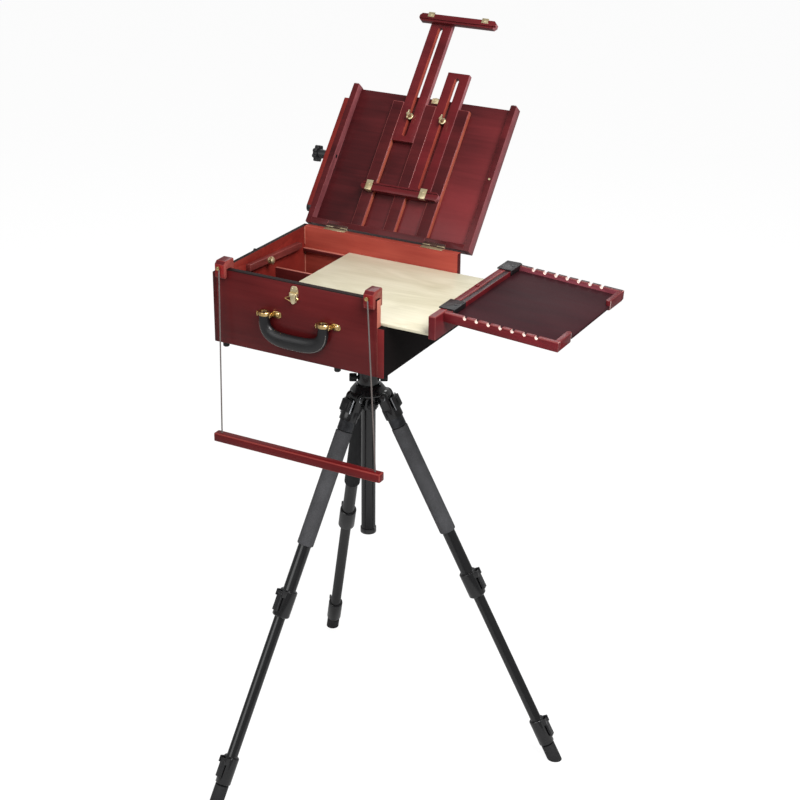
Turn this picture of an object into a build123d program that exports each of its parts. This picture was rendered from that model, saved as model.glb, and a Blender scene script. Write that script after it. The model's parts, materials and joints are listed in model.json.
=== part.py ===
from build123d import *
import math
import os

os.makedirs("parts", exist_ok=True)

# ---------------------------------------------------------------- driving dimensions (mm, degrees)
# The box frame: +X to the right of the box, +Y from the front panel to the back panel, +Z up,
# zero in the middle of the underside of the box. The whole object is moved to the floor at the end.
box_width = 400.0
box_depth = 356.0
wall_height = 152.0
front_rise = 10.0
wall_thick = 15.0
left_wall_thick = 10.0
floor_thick = 8.0
right_wall_height = 104.0
slide_gap = 0.2
edge_round = 1.2

runner_height = 8.0
runner_depth = 8.0
divider_thick = 6.0
divider_height = 94.0
cross_divider_y = 45.0
long_divider_x = -60.0
foot_radius = 7.0
foot_height = 9.0
foot_round = 2.0
foot_left_inset = 25.0
foot_right_inset = 108.0
foot_wall_inset = 18.0

lid_open_angle = 129.3
lid_thick = 25.0
lid_panel_thick = 6.0
lid_rail_width = 13.0
lid_front_gap = 1.0
lid_panel_setback = 6.0
lid_rest_gap = 0.5
hinge_axis_out = 3.0
hinge_axis_up = 1.0
hinge_radius = 2.5
hinge_pin_radius = 1.2
hinge_leaf_thick = 1.2
hinge_leaf_length = 52.0
hinge_leaf_depth = 12.0
hinge_lid_leaf_depth = 5.0
hinge_x = 119.0

guide_width = 27.0
guide_thick = 12.0
guide_pitch = 80.0
guide_end_gap = 20.0
mast_gap = 0.5
mast_length = 302.0
mast_slot_width = 11.0
mast_slot_start = 12.0
mast_slot_end = 278.0
upper_mast_foot = 225.0
lower_mast_foot = 98.0
crossbar_length = 188.0
crossbar_width = 18.0
crossbar_thick = 13.0
crossbar_lip = 3.0
crossbar_groove = 3.0
crossbar_gap = 0.15
clip_x = 66.0
clip_width = 16.0
clip_reach = 11.0
clip_thick = 1.6
bolt_inset = 52.5
bolt_radius = 3.0
knob_radius = 7.5
knob_height = 13.0
knob_ribs = 16
keeper_width = 16.0
peg_place = 168.0
peg_radius = 2.5

side_arm_start = 31.0
side_arm_length = 273.0
side_arm_width = 22.0
side_arm_thick = 11.0
side_arm_gap = 0.3
arm_bolt_radius = 4.0
star_knob_radius = 19.0
star_knob_thick = 10.0
star_knob_lobes = 8
star_lobe_share = 0.22
star_disc_share = 0.82
star_boss_radius = 10.0
star_boss_length = 18.0

board_thick = 6.0
board_left = -77.0
end_plate_x = 297.0
end_plate_thick = 15.0
board_housing = 8.0

tray_length = 242.0
tray_front_inset = 33.0
tray_back_inset = 1.0
tray_height = 20.0
tray_rim = 10.0
tray_inner_rim = 13.0
tray_floor_thick = 5.0
tray_floor_drop = 10.0
tray_droop = 3.5
tray_near_return = 64.0
tray_far_return = 74.0
notch_count = 7
notch_first = 45.5
notch_pitch = 25.1
notch_width = 7.0
notch_depth = 6.0
bracket_width = 50.0
bracket_thick = 2.5
near_bracket_inset = 40.0
far_bracket_inset = 26.0
bracket_tongue_drop = 8.0
bracket_lip_width = 18.0
bracket_lip_drop = 8.0

hook_width = 22.0
hook_leg = 10.5
hook_drop = 18.5
hook_top = 18.5
hook_gap = 0.3
left_hook_inset = 25.0
right_hook_inset = 29.0
left_screw_shift = 1.0
right_screw_shift = 0.0
screw_height = 5.7
screw_radius = 2.5
screw_head_radius = 4.0
screw_head_thick = 1.8
screw_reach = 6.4
cord_radius = 1.5
bar_length = 400.0
bar_side = 19.0
bar_middle_x = 4.5
bar_drop = 377.5
bar_cord_inset = 15.0
bar_chamfer = 12.0

handle_span = 138.0
handle_leg = 22.0
handle_grip = 32.0
handle_drop = 65.0
handle_thick = 18.0
handle_height = 88.0
handle_pin_radius = 2.0
handle_plate = 21.0
bracket_ear = 3.0
latch_x = -3.0
latch_width = 20.0
latch_top = 157.0
latch_height = 36.0
latch_plate_thick = 1.5
latch_ear_thick = 2.0
latch_pin_radius = 1.2
loop_wire = 1.0
loop_offset = 9.0
loop_drop = 24.0

stay_length = 205.0
stay_height = 14.0
stay_thick = 11.0
stay_back_y = 135.0
stay_pivot_y = 2.0
stay_slope = 3.0
stay_bolt_radius = 3.0
stay_boss_length = 7.0
stay_washer = 3.0
wing_height = 16.0
wing_reach = 7.0
wing_thick = 2.4

tripod_x = 46.0
tripod_y = 32.0
floor_level = -985.0
plate_thick = 8.0
plate_radius = 28.0
ball_level = -48.0
ball_radius = 18.0
ball_stem_radius = 7.0
ball_gap = 0.1
head_radius = 23.0
head_foot = -133.0
head_knob_level = -108.0
head_knob_angle = 30.0
head_knob_radius = 9.0
head_knob_length = 16.0
knob_stem_radius = 4.0
column_knob_radius = 10.0
column_knob_length = 14.0
column_radius = 15.5
column_bottom = -478.0
crown_top = -140.0
crown_bottom = -175.0
crown_radius = 25.0
hub_height = 26.0
sleeve_wall = 6.0
flange_thick = 6.0
column_cap_height = 12.0
running_fit = 0.1
leg_angles = (-108.4, 11.6, 131.6)
leg_names = ("left", "right", "rear")
leg_spread = 25.8
leg_pivot_radius = 36.4
leg_pivot_level = -145.2
leg_pin_radius = 4.0
shoulder_width = 22.0
shoulder_radius = 12.0
cheek_thick = 7.0
casting_radius = 20.0
casting_height = 22.0
casting_end = 51.0
neck_radius = 17.0
foam_gap = 2.0
tube_overlap = 16.0
upper_tube_radius = 14.0
middle_tube_radius = 12.0
foot_tube_radius = 10.0
foam_radius = 18.0
foam_start = 75.0
foam_end = 334.0
upper_collar = (438.0, 498.0)
lower_collar = (825.0, 889.0)
upper_collar_radius = 19.0
lower_collar_radius = 17.0
foot_tube_length = 310.0
rubber_foot_radius = 15.0
rubber_foot_length = 40.0
rubber_foot_gap = 3.0
lever_width = 14.0
lever_thick = 5.0
lever_length = 40.0
lever_pin_drop = 8.0
lever_pin_radius = 1.5
lever_ear = 4.0

# ---------------------------------------------------------------- places worked out from them
box_left = -box_width / 2
box_right = box_width / 2
box_front = -box_depth / 2
box_back = box_depth / 2
inner_left = box_left + left_wall_thick
inner_right = box_right - wall_thick
inner_front = box_front + wall_thick
inner_back = box_back - wall_thick
front_height = wall_height + front_rise
foot_x = (box_left + foot_left_inset, box_right - foot_right_inset)
foot_y = (box_front + foot_wall_inset, box_back - foot_wall_inset)

hinge_y = box_back + hinge_axis_out
hinge_z = wall_height + hinge_axis_up
lid_tilt = lid_open_angle - 90.0
lid_up = Vector(0, math.sin(math.radians(lid_tilt)), math.cos(math.radians(lid_tilt)))
lid_out = Vector(0, -math.cos(math.radians(lid_tilt)), math.sin(math.radians(lid_tilt)))
lid_plane = Plane(origin=(0, hinge_y, hinge_z), x_dir=(1, 0, 0), z_dir=lid_out)
lid_face = lid_rest_gap
lid_skin = lid_face - lid_thick
lid_inside = lid_skin + lid_panel_thick
lid_foot = hinge_axis_out
lid_end = hinge_y - inner_front - lid_front_gap
lid_panel_end = lid_end - lid_panel_setback
lid_panel_start = lid_foot + lid_rail_width
bolt_place = lid_panel_end - bolt_inset
guide_front = lid_inside + guide_thick
mast_back = lid_inside + slide_gap
mast_front = guide_front + slide_gap
mast_width = guide_pitch - guide_width - 2 * mast_gap
crossbar_back = mast_front + crossbar_gap
crossbar_front = crossbar_back + crossbar_thick
side_arm_middle = (side_arm_start + side_arm_length / 2, lid_skin + 2 + side_arm_width / 2)

board_bottom = right_wall_height + slide_gap
board_top = board_bottom + board_thick
board_y = inner_back - mast_gap
end_plate_out = end_plate_x + end_plate_thick
tray_front = box_front + tray_front_inset
tray_back = box_back - tray_back_inset
bracket_places = (tray_front + near_bracket_inset, tray_back - far_bracket_inset)
tray_start = slide_gap + tray_height * math.tan(math.radians(tray_droop))
tray_place = Location((end_plate_out, 0, wall_height), (0, tray_droop, 0))

stay_back_drop = (stay_back_y - stay_pivot_y) * math.sin(math.radians(stay_slope))
stay_pivot_z = board_top + stay_height / 2 + 2 * side_arm_gap + stay_back_drop

stay_place = Pos(0, stay_pivot_y, stay_pivot_z) * Rot(-stay_slope, 0, 0)
stay_inner = inner_left + side_arm_gap
stay_outer = stay_inner + stay_thick

left_hook_x = box_left + left_hook_inset
right_hook_x = box_right - right_hook_inset
hook_front = box_front - hook_gap - hook_leg
hook_back = inner_front + hook_gap + hook_leg
screw_z = front_height + hook_gap + screw_height
cord_pivot_z = screw_z - screw_radius - running_fit - cord_radius
bar_y = hook_front - 2.7
bar_top = screw_z - bar_drop + bar_side / 2
handle_y = box_front - 2.5 - handle_thick / 2
latch_pin_y = box_front - latch_plate_thick - 3.5
latch_pin_z = latch_top - 17
loop_y = latch_pin_y - 1

tripod_axis = Pos(tripod_x, tripod_y, 0)
leg_seat = Pos(leg_pivot_radius, 0, leg_pivot_level) * Rot(0, -leg_spread, 0)
leg_place = [tripod_axis * Rot(0, 0, angle) * leg_seat for angle in leg_angles]
parts = {}


# ---------------------------------------------------------------- helpers
def block(x0, x1, y0, y1, z0, z1):
    """A box between two corners."""
    return Pos((x0 + x1) / 2, (y0 + y1) / 2, (z0 + z1) / 2) * Box(x1 - x0, y1 - y0, z1 - z0)


def strip(x, width, y0, y1, z0, z1):
    """A box that is centred on x."""
    return block(x - width / 2, x + width / 2, y0, y1, z0, z1)


def rod(x, y, z, radius, length, axis="Z"):
    """A round bar with its middle at x, y, z."""
    turn = {"X": Rot(0, 90, 0), "Y": Rot(90, 0, 0), "Z": Rot(0, 0, 0)}[axis]
    return Pos(x, y, z) * turn * Cylinder(radius, length)


def column_piece(top, bottom, radius):
    """A round piece on the tripod's axis between two levels."""
    return rod(tripod_x, tripod_y, (top + bottom) / 2, radius, top - bottom)


def leg_piece(start, end, radius):
    """A round piece on a leg's axis, between two distances from the leg's pivot."""
    return rod(0, 0, -(start + end) / 2, radius, end - start)


def group(*shapes):
    """Separate solids that share one node."""
    solids = []
    for shape in shapes:
        solids.extend(shape.solids())
    return Compound(children=solids)


def in_lid(shape):
    """From the lid's own frame (x, along the lid, out of its inner face) to its place."""
    return lid_plane.location * shape


# ---------------------------------------------------------------- box walls
def make_walls():
    """Front, back and side walls and the floor; hinge beds are cut in the back panel."""
    front = block(inner_left, inner_right, box_front, inner_front, 0, front_height)
    parts["front_panel"] = chamfer(front.edges().group_by(Axis.Z)[-1], edge_round)
    back = block(inner_left, inner_right, inner_back, box_back, 0, wall_height)
    bed_bottom = wall_height + hinge_leaf_thick / 4 - hinge_leaf_thick
    for side in (-1, 1):
        x = side * hinge_x
        back -= strip(x, hinge_leaf_length, box_back - hinge_leaf_depth, box_back + 1,
                      bed_bottom, wall_height + 1)
        back -= rod(x, hinge_y, hinge_z, hinge_radius + slide_gap, hinge_leaf_length, "X")
    parts["back_panel"] = back
    left = block(box_left, inner_left, box_front, box_back, 0, wall_height)
    left = chamfer(left.edges().group_by(Axis.X)[0], edge_round)
    bolt_hole = stay_bolt_radius + running_fit / 2
    left -= rod((box_left + inner_left) / 2, stay_pivot_y, stay_pivot_z, bolt_hole, 2 * wall_thick, "X")
    parts["left_wall"] = left
    right = block(inner_right, box_right, box_front, box_back, 0, right_wall_height)
    parts["right_wall"] = chamfer(right.edges().group_by(Axis.X)[-1], edge_round)
    parts["floor_panel"] = block(inner_left, inner_right, inner_front, inner_back, 0, floor_thick)


def make_inside():
    """Runners under the sliding board, and the compartment dividers."""
    low = right_wall_height - runner_height
    runners = []
    for y in (inner_front, inner_back - runner_depth):
        runners.append(block(inner_left, inner_right, y, y + runner_depth, low, right_wall_height))
    half = divider_thick / 2
    across = block(inner_left, long_divider_x - half, cross_divider_y - half, cross_divider_y + half,
                   floor_thick, divider_height)
    along = strip(long_divider_x, divider_thick, inner_front, inner_back, floor_thick, divider_height)
    parts["runners_and_dividers"] = group(*runners, across, along)


def make_feet():
    """Rubber feet under the box, each with a rounded rim."""
    feet = []
    for x in foot_x:
        for y in foot_y:
            foot = rod(x, y, -foot_height / 2, foot_radius, foot_height)
            feet.append(fillet(foot.edges().group_by(Axis.Z)[0], foot_round))
    parts["box_feet"] = group(*feet)


# ---------------------------------------------------------------- hinges and brasswork
def make_box_brass():
    """Hinge leaves with their pins, the latch plate, the handle brackets and the stay bar's nut."""
    pieces = []
    third = hinge_leaf_length / 3
    leaf_top = wall_height + hinge_leaf_thick / 4
    leaf_bottom = leaf_top - hinge_leaf_thick
    for side in (-1, 1):
        x = side * hinge_x
        leaf = strip(x, hinge_leaf_length, box_back - hinge_leaf_depth, box_back, leaf_bottom, leaf_top)
        for end in (-1, 1):
            middle = x + end * third
            leaf += rod(middle, hinge_y, hinge_z, hinge_radius, third - slide_gap, "X")
            leaf += strip(middle, third - slide_gap, box_back - 1, hinge_y, leaf_bottom, leaf_top)
        leaf += rod(x, hinge_y, hinge_z, hinge_pin_radius, hinge_leaf_length, "X")
        pieces.append(leaf)
    plate = strip(latch_x, latch_width, box_front - latch_plate_thick, box_front,
                  latch_top - latch_height, latch_top)
    for end in (-1, 1):
        ear_x = latch_x + end * (latch_width - latch_ear_thick) / 2
        plate += strip(ear_x, latch_ear_thick, latch_pin_y - 2, box_front,
                       latch_pin_z - 5, latch_pin_z + 5)
    plate += rod(latch_x, latch_pin_y, latch_pin_z, latch_pin_radius, latch_width, "X")
    pieces.append(plate)
    for end in (-1, 1):
        leg_side = end * (handle_span + handle_leg) / 2
        ear_x = leg_side + end * (1 + bracket_ear / 2)
        plate_x = leg_side + end * (1 + handle_plate / 2)
        bracket = strip(plate_x, handle_plate, box_front - 2, box_front,
                        handle_height - 10, handle_height + 10)
        bracket += strip(ear_x, bracket_ear, handle_y - 4, box_front,
                         handle_height - 5, handle_height + 5)
        pin_length = handle_leg + bracket_ear
        pin_x = leg_side + end * (1 + bracket_ear - pin_length / 2)
        bracket += rod(pin_x, handle_y, handle_height, handle_pin_radius, pin_length, "X")
        for dz in (-6, 6):
            bracket += rod(leg_side + end * 16, box_front - 2.6, handle_height + dz, 2.2, 1.4, "Y")
        pieces.append(bracket)
    pieces.append(stay_nut())
    parts["box_brasswork"] = group(*pieces)


def make_latch():
    """The draw latch: a lever on the plate's pin and a wire loop on the lever."""
    lever_width = latch_width - 2 * latch_ear_thick - 4
    barrel = 3.0
    top = latch_pin_z - loop_offset
    lever = strip(latch_x, lever_width, latch_pin_y - barrel, latch_pin_y + barrel,
                  latch_pin_z - 19, latch_pin_z)
    lever += rod(latch_x, latch_pin_y, latch_pin_z, barrel, lever_width, "X")
    lever = chamfer(lever.edges().group_by(Axis.Z)[0], 1.2)
    lever -= rod(latch_x, latch_pin_y, latch_pin_z, latch_pin_radius + running_fit / 2, lever_width + 2, "X")
    lever -= rod(latch_x, loop_y, top, loop_wire + running_fit, lever_width + 2, "X")
    parts["latch_lever"] = lever
    half = (latch_width - 3) / 2
    loop = rod(latch_x, loop_y, top, loop_wire, 2 * half, "X")
    for end in (-1, 1):
        x = latch_x + end * half
        loop += rod(x, loop_y, top - loop_drop / 2, loop_wire, loop_drop)
        loop += Pos(x, loop_y, top) * Sphere(loop_wire)
        loop += Pos(x, loop_y, top - loop_drop) * Sphere(loop_wire)
    loop += rod(latch_x, loop_y, top - loop_drop, loop_wire, 2 * half, "X")
    parts["latch_loop"] = loop


def make_handle():
    """The carry handle: a thick padded grip whose two legs turn on the bracket pins."""
    outer = handle_span / 2 + handle_leg / 2
    inner = handle_span / 2 - handle_leg / 2
    low = -handle_drop
    radius = handle_leg + 10
    with BuildSketch(Plane.XZ) as outline:
        with BuildLine():
            Polyline((-outer, 4), (-outer, low * 0.45), (-outer + 22, low), (outer - 22, low),
                     (outer, low * 0.45), (outer, 4), (inner, 4), (inner, low * 0.40),
                     (inner - 10, low + handle_grip), (-inner + 10, low + handle_grip),
                     (-inner, low * 0.40), (-inner, 4), (-outer, 4))
        make_face()
        corners = outline.vertices().sort_by(Axis.Y)
        fillet(corners[:4], radius / 2.2)
        fillet(outline.vertices().sort_by(Axis.Y)[-4:], 5)
    grip = extrude(outline.sketch, handle_thick / 2, both=True)
    front_rim = grip.edges().group_by(Axis.Y)
    grip = fillet(front_rim[0] + front_rim[-1], 4.5)
    grip = Pos(0, handle_y, handle_height) * grip
    for end in (-1, 1):
        bore = handle_pin_radius + running_fit
        grip -= rod(end * handle_span / 2, handle_y, handle_height, bore, handle_leg + 4, "X")
    parts["carry_handle"] = grip


# ---------------------------------------------------------------- stay bar inside the left wall
def star_knob(x, y, z):
    """A lobed disc that turns about an X axis."""
    lobe_radius = star_knob_radius * star_lobe_share
    lobe_circle = star_knob_radius - lobe_radius
    knob = rod(x, y, z, star_knob_radius * star_disc_share, star_knob_thick, "X")
    for k in range(star_knob_lobes):
        turn = 2 * math.pi * k / star_knob_lobes
        lobe_y = y + lobe_circle * math.cos(turn)
        lobe_z = z + lobe_circle * math.sin(turn)
        knob += rod(x, lobe_y, lobe_z, lobe_radius, star_knob_thick, "X")
    return knob


def stay_nut():
    """The brass wing nut on the inner end of the stay bar's bolt."""
    washer_start = stay_outer + side_arm_gap
    washer_end = washer_start + stay_washer
    nut = rod(washer_start + stay_washer / 2, 0, 0, stay_height / 2, stay_washer, "X")
    nut += block(washer_end, washer_end + wing_reach, -wing_thick / 2, wing_thick / 2,
                 -wing_height / 2, wing_height / 2)
    nut -= rod(washer_start, 0, 0, stay_bolt_radius + running_fit / 2, 2 * stay_washer, "X")
    return stay_place * nut


def make_stay():
    """A wooden bar with a round far end, and the bolt with a star knob that it turns on."""
    middle_x = (stay_inner + stay_outer) / 2
    back = stay_back_y - stay_pivot_y
    front = back - stay_length
    bar = block(stay_inner, stay_outer, front, back - stay_height / 2, -stay_height / 2, stay_height / 2)
    bar += rod(middle_x, back - stay_height / 2, 0, stay_height / 2, stay_thick, "X")
    bar -= rod(middle_x, 0, 0, stay_bolt_radius + running_fit / 2, stay_thick + 2, "X")
    parts["stay_bar"] = stay_place * bar
    bolt_end = stay_outer + side_arm_gap + stay_washer
    boss_face = box_left - side_arm_gap
    knob_face = boss_face - stay_boss_length
    knob = rod((bolt_end + knob_face) / 2, 0, 0, stay_bolt_radius, bolt_end - knob_face, "X")
    knob += rod((boss_face + knob_face) / 2, 0, 0, star_boss_radius, stay_boss_length, "X")
    knob += star_knob(knob_face - star_knob_thick / 2, 0, 0)
    parts["stay_knob"] = stay_place * knob


# ---------------------------------------------------------------- lid
def make_lid():
    """The lid's thin panel, its frame open at the far end, and the three guide boards."""
    half = box_width / 2
    inside = half - lid_rail_width
    panel = strip(0, 2 * inside, lid_panel_start, lid_panel_end, lid_skin, lid_inside)
    for side in (-1, 1):
        panel -= rod(side * guide_pitch / 2, bolt_place, lid_skin, bolt_radius + running_fit, 2 * lid_thick)
    parts["lid_panel"] = in_lid(panel)
    rails = []
    for end in (-1, 1):
        low = min(end * inside, end * half)
        rail = block(low, low + lid_rail_width, lid_foot, lid_end, lid_skin, lid_face)
        rails.append(chamfer(rail.edges().group_by(Axis.Y)[-1], 2.5))
    foot = block(-inside, inside, lid_foot, lid_panel_start, lid_skin, lid_face)
    bed_end = lid_foot + hinge_leaf_depth
    for side in (-1, 1):
        bed = strip(side * hinge_x, hinge_leaf_length, 0, bed_end, lid_face - hinge_leaf_thick, lid_face + 1)
        foot -= bed
    arm_t, arm_n = side_arm_middle
    rails[0] -= rod(-half, arm_t, arm_n, arm_bolt_radius + running_fit, 3 * lid_rail_width, "X")
    parts["lid_rails"] = in_lid(group(*rails, foot))
    guides = []
    guide_end = lid_panel_end - guide_end_gap
    for k in (-1, 0, 1):
        guide = strip(k * guide_pitch, guide_width, lid_panel_start, guide_end, lid_inside, guide_front)
        guides.append(chamfer(guide.edges().group_by(Axis.Z)[-1], 0.8))
    parts["mast_guides"] = in_lid(group(*guides))


def make_lid_brass():
    """Lid leaves of the hinges, the keeper on the lid's edge and a small peg on the right rail."""
    third = hinge_leaf_length / 3
    leaf_back = lid_face - hinge_leaf_thick
    pieces = []
    for side in (-1, 1):
        x = side * hinge_x
        leaf = strip(x, hinge_leaf_length, lid_foot, lid_foot + hinge_lid_leaf_depth, leaf_back, lid_face)
        leaf += strip(x, third - slide_gap, 0, lid_foot + 1, leaf_back, lid_face)
        leaf += rod(x, 0, 0, hinge_radius, third - slide_gap, "X")
        leaf -= rod(x, 0, 0, hinge_pin_radius + running_fit / 2, third + 1, "X")
        pieces.append(leaf)
    keeper = strip(0, keeper_width, lid_panel_end, lid_panel_end + 2, lid_skin, lid_inside + 2)
    keeper += strip(0, keeper_width, lid_panel_end - 10, lid_panel_end + 2, lid_inside, lid_inside + 1.5)
    keeper += strip(0, keeper_width / 2, lid_panel_end + 1, lid_panel_end + 4, lid_skin + 2, lid_inside)
    pieces.append(keeper)
    pieces.append(rod(box_right - lid_rail_width / 2, peg_place, lid_face + 1, peg_radius, 2))
    parts["lid_brasswork"] = in_lid(group(*pieces))


def mast(x, foot, slot_from_foot, bar_at_top):
    """One slotted mast with its crossbar, in the lid's frame."""
    board = strip(x, mast_width, foot, foot + mast_length, mast_back, mast_front)
    slot_low = foot + slot_from_foot + mast_slot_width / 2
    slot_high = slot_low + mast_slot_end - mast_slot_start - mast_slot_width
    board -= strip(x, mast_slot_width, slot_low, slot_high, mast_back - 1, mast_front + 1)
    for t in (slot_low, slot_high):
        board -= rod(x, t, (mast_back + mast_front) / 2, mast_slot_width / 2, guide_thick + 4)
    low = foot + mast_length - crossbar_width if bar_at_top else foot
    board += strip(x, mast_width, low, low + crossbar_width, mast_front - 1, crossbar_back)
    bar = strip(0, crossbar_length, low, low + crossbar_width, crossbar_back, crossbar_front)
    bar = chamfer(bar.edges().filter_by(Axis.Z), crossbar_width * 0.3)
    groove = low + (crossbar_width * 0.25 if bar_at_top else crossbar_width * 0.75)
    bar -= strip(0, crossbar_length + 2, groove - crossbar_groove / 2, groove + crossbar_groove / 2,
                 crossbar_front - crossbar_lip, crossbar_front + 1)
    return group(board, bar), low


def make_masts():
    """Two identical masts: the upper carries a top bar, the lower the canvas ledge."""
    x = guide_pitch / 2
    upper, upper_bar = mast(-x, upper_mast_foot, mast_slot_start, True)
    lower, ledge = mast(x, lower_mast_foot, mast_length - mast_slot_end, False)
    parts["upper_mast"] = in_lid(upper)
    parts["lower_mast"] = in_lid(lower)
    for name, low, up in (("upper_clips", upper_bar, True), ("lower_clips", ledge, False)):
        clips = []
        edge = low if up else low + crossbar_width
        side = -1 if up else 1
        clip_front = crossbar_front + clip_thick
        near, far = sorted((edge - side * clip_reach, edge + side * clip_thick))
        lip_near, lip_far = sorted((edge, edge + side * clip_thick))
        for end in (-1, 1):
            x = end * clip_x
            clip = strip(x, clip_width, near, far, crossbar_front, clip_front)
            clip += strip(x, clip_width, lip_near, lip_far, crossbar_back + 1, clip_front)
            clip += rod(x, edge - side * clip_reach * 0.55, clip_front + 1, clip_width / 4, 2)
            clips.append(clip)
        parts[name] = in_lid(group(*clips))


def make_mast_knobs():
    """A bolt through the panel and the slot of each mast, with a ribbed brass knob."""
    for name, x in (("upper_mast_knob", -guide_pitch / 2), ("lower_mast_knob", guide_pitch / 2)):
        base = mast_front + side_arm_gap
        bolt = rod(x, bolt_place, (lid_skin + base) / 2, bolt_radius, base - lid_skin)
        washer = rod(x, bolt_place, base + 0.8, knob_radius + 1.5, 1.6)
        knob_base = base + 1
        knob = rod(x, bolt_place, knob_base + knob_height / 2, knob_radius, knob_height)
        for k in range(knob_ribs):
            a = 2 * math.pi * k / knob_ribs
            rib_x = x + knob_radius * math.cos(a)
            rib_t = bolt_place + knob_radius * math.sin(a)
            knob -= rod(rib_x, rib_t, knob_base + knob_height / 2 + 1, 0.7, knob_height)
        knob += rod(x, bolt_place, knob_base + knob_height + 1, knob_radius * 0.45, 4)
        parts[name] = in_lid(bolt + washer + knob)


def make_side_arm():
    """The wooden arm along the left side of the lid and the star knob that clamps it."""
    x1 = box_left - side_arm_gap
    x0 = x1 - side_arm_thick
    arm_x = (x0 + x1) / 2
    middle, n_mid = side_arm_middle
    r = side_arm_width / 2
    end = side_arm_start + side_arm_length
    arm = block(x0, x1, side_arm_start + r, end, n_mid - r, n_mid + r)
    arm += rod(arm_x, side_arm_start + r, n_mid, r, side_arm_thick, "X")
    arm -= rod(arm_x, middle, n_mid, arm_bolt_radius + running_fit, side_arm_thick + 2, "X")
    parts["side_arm"] = in_lid(arm)
    bolt_end = box_left + lid_rail_width
    boss_face = x0 - side_arm_gap
    knob_face = boss_face - star_boss_length
    bolt = rod((bolt_end + knob_face) / 2, middle, n_mid, arm_bolt_radius, bolt_end - knob_face, "X")
    bolt += rod((boss_face + knob_face) / 2, middle, n_mid, star_boss_radius, star_boss_length, "X")
    knob = star_knob(knob_face - star_knob_thick / 2, middle, n_mid)
    parts["side_arm_knob"] = in_lid(bolt + knob)


# ---------------------------------------------------------------- sliding board and side tray
def make_board():
    """The pale board on its runners, housed in the end plate."""
    board = block(board_left, end_plate_x + board_housing, -board_y, board_y, board_bottom, board_top)
    parts["palette_board"] = board
    plate = block(end_plate_x, end_plate_out, box_front, box_back, board_bottom, wall_height)
    plate = chamfer(plate.edges().group_by(Axis.Z)[-1], edge_round)
    housing_end = end_plate_x + board_housing
    plate -= block(end_plate_x - 1, housing_end, -board_y, board_y, board_bottom - 1, board_top)
    peg_y = (tray_front + tray_back) / 2
    peg = rod(end_plate_x + end_plate_thick / 2, peg_y, wall_height + 1.5, 4, 3)
    parts["end_plate"] = group(plate, peg)


def make_tray():
    """The side tray: a floor and rims with notches for brushes, hung by two brackets."""
    floor_z = -tray_floor_drop - tray_floor_thick
    inner_front_y = tray_front + tray_rim
    inner_back_y = tray_back - tray_rim
    return_x = tray_length - tray_rim
    near_end = tray_front + tray_near_return
    far_end = tray_back - tray_far_return
    floor = block(tray_inner_rim, tray_length, inner_front_y, inner_back_y, floor_z, -tray_floor_drop)
    floor -= block(return_x, tray_length + 1, tray_front, near_end, floor_z - 1, 1)
    floor -= block(return_x, tray_length + 1, far_end, tray_back, floor_z - 1, 1)
    parts["tray_floor"] = tray_place * floor
    rims = []
    for y0, y1 in ((tray_front, inner_front_y), (inner_back_y, tray_back)):
        rim = block(tray_start, tray_length, y0, y1, -tray_height, 0)
        rim = chamfer(rim.edges().group_by(Axis.Z)[-1], edge_round)
        notch_floor = notch_width / 2 - notch_depth
        for k in range(notch_count):
            x = notch_first + k * notch_pitch
            rim -= strip(x, notch_width, y0 - 1, y1 + 1, notch_floor, 1)
            rim -= rod(x, (y0 + y1) / 2, notch_floor, notch_width / 2, tray_rim + 2, "Y")
        rims.append(rim)
    rims.append(block(tray_start, tray_inner_rim, inner_front_y, inner_back_y, -tray_height, 0))
    r = tray_rim / 2
    returns = ((inner_front_y, near_end - r, near_end - r), (far_end + r, inner_back_y, far_end + r))
    for y0, y1, tip in returns:
        outer = block(return_x, tray_length, y0, y1, -tray_height, 0)
        outer += rod(tray_length - r, tip, -tray_height / 2, r, tray_height)
        rims.append(outer)
    parts["tray_rims"] = tray_place * group(*rims)
    brackets = []
    lip_x = end_plate_x - slide_gap - bracket_thick
    under = wall_height + slide_gap / 2
    bend = end_plate_out + tray_inner_rim
    for y in bracket_places:
        near, far = y - bracket_width / 2, y + bracket_width / 2
        lip_near, lip_far = y - bracket_lip_width / 2, y + bracket_lip_width / 2
        lip_bottom = wall_height - bracket_lip_drop
        strap = block(lip_x, bend, near, far, under, under + bracket_thick)
        strap += block(lip_x, lip_x + bracket_thick, lip_near, lip_far, lip_bottom, under + 1)
        tongue = tray_inner_rim + slide_gap / 2
        tail = block(tray_inner_rim - 2, tongue + bracket_thick, near, far, slide_gap / 2, bracket_thick)
        inside = max(near, inner_front_y + slide_gap), min(far, inner_back_y - slide_gap)
        tail += block(tongue, tongue + bracket_thick, *inside, -bracket_tongue_drop, bracket_thick)
        screw = rod((end_plate_out + bend) / 2, y, under + bracket_thick + 0.6, 4, 1.6)
        brackets.append(strap + tray_place * tail + screw)
    parts["tray_brackets"] = group(*brackets)


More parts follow.
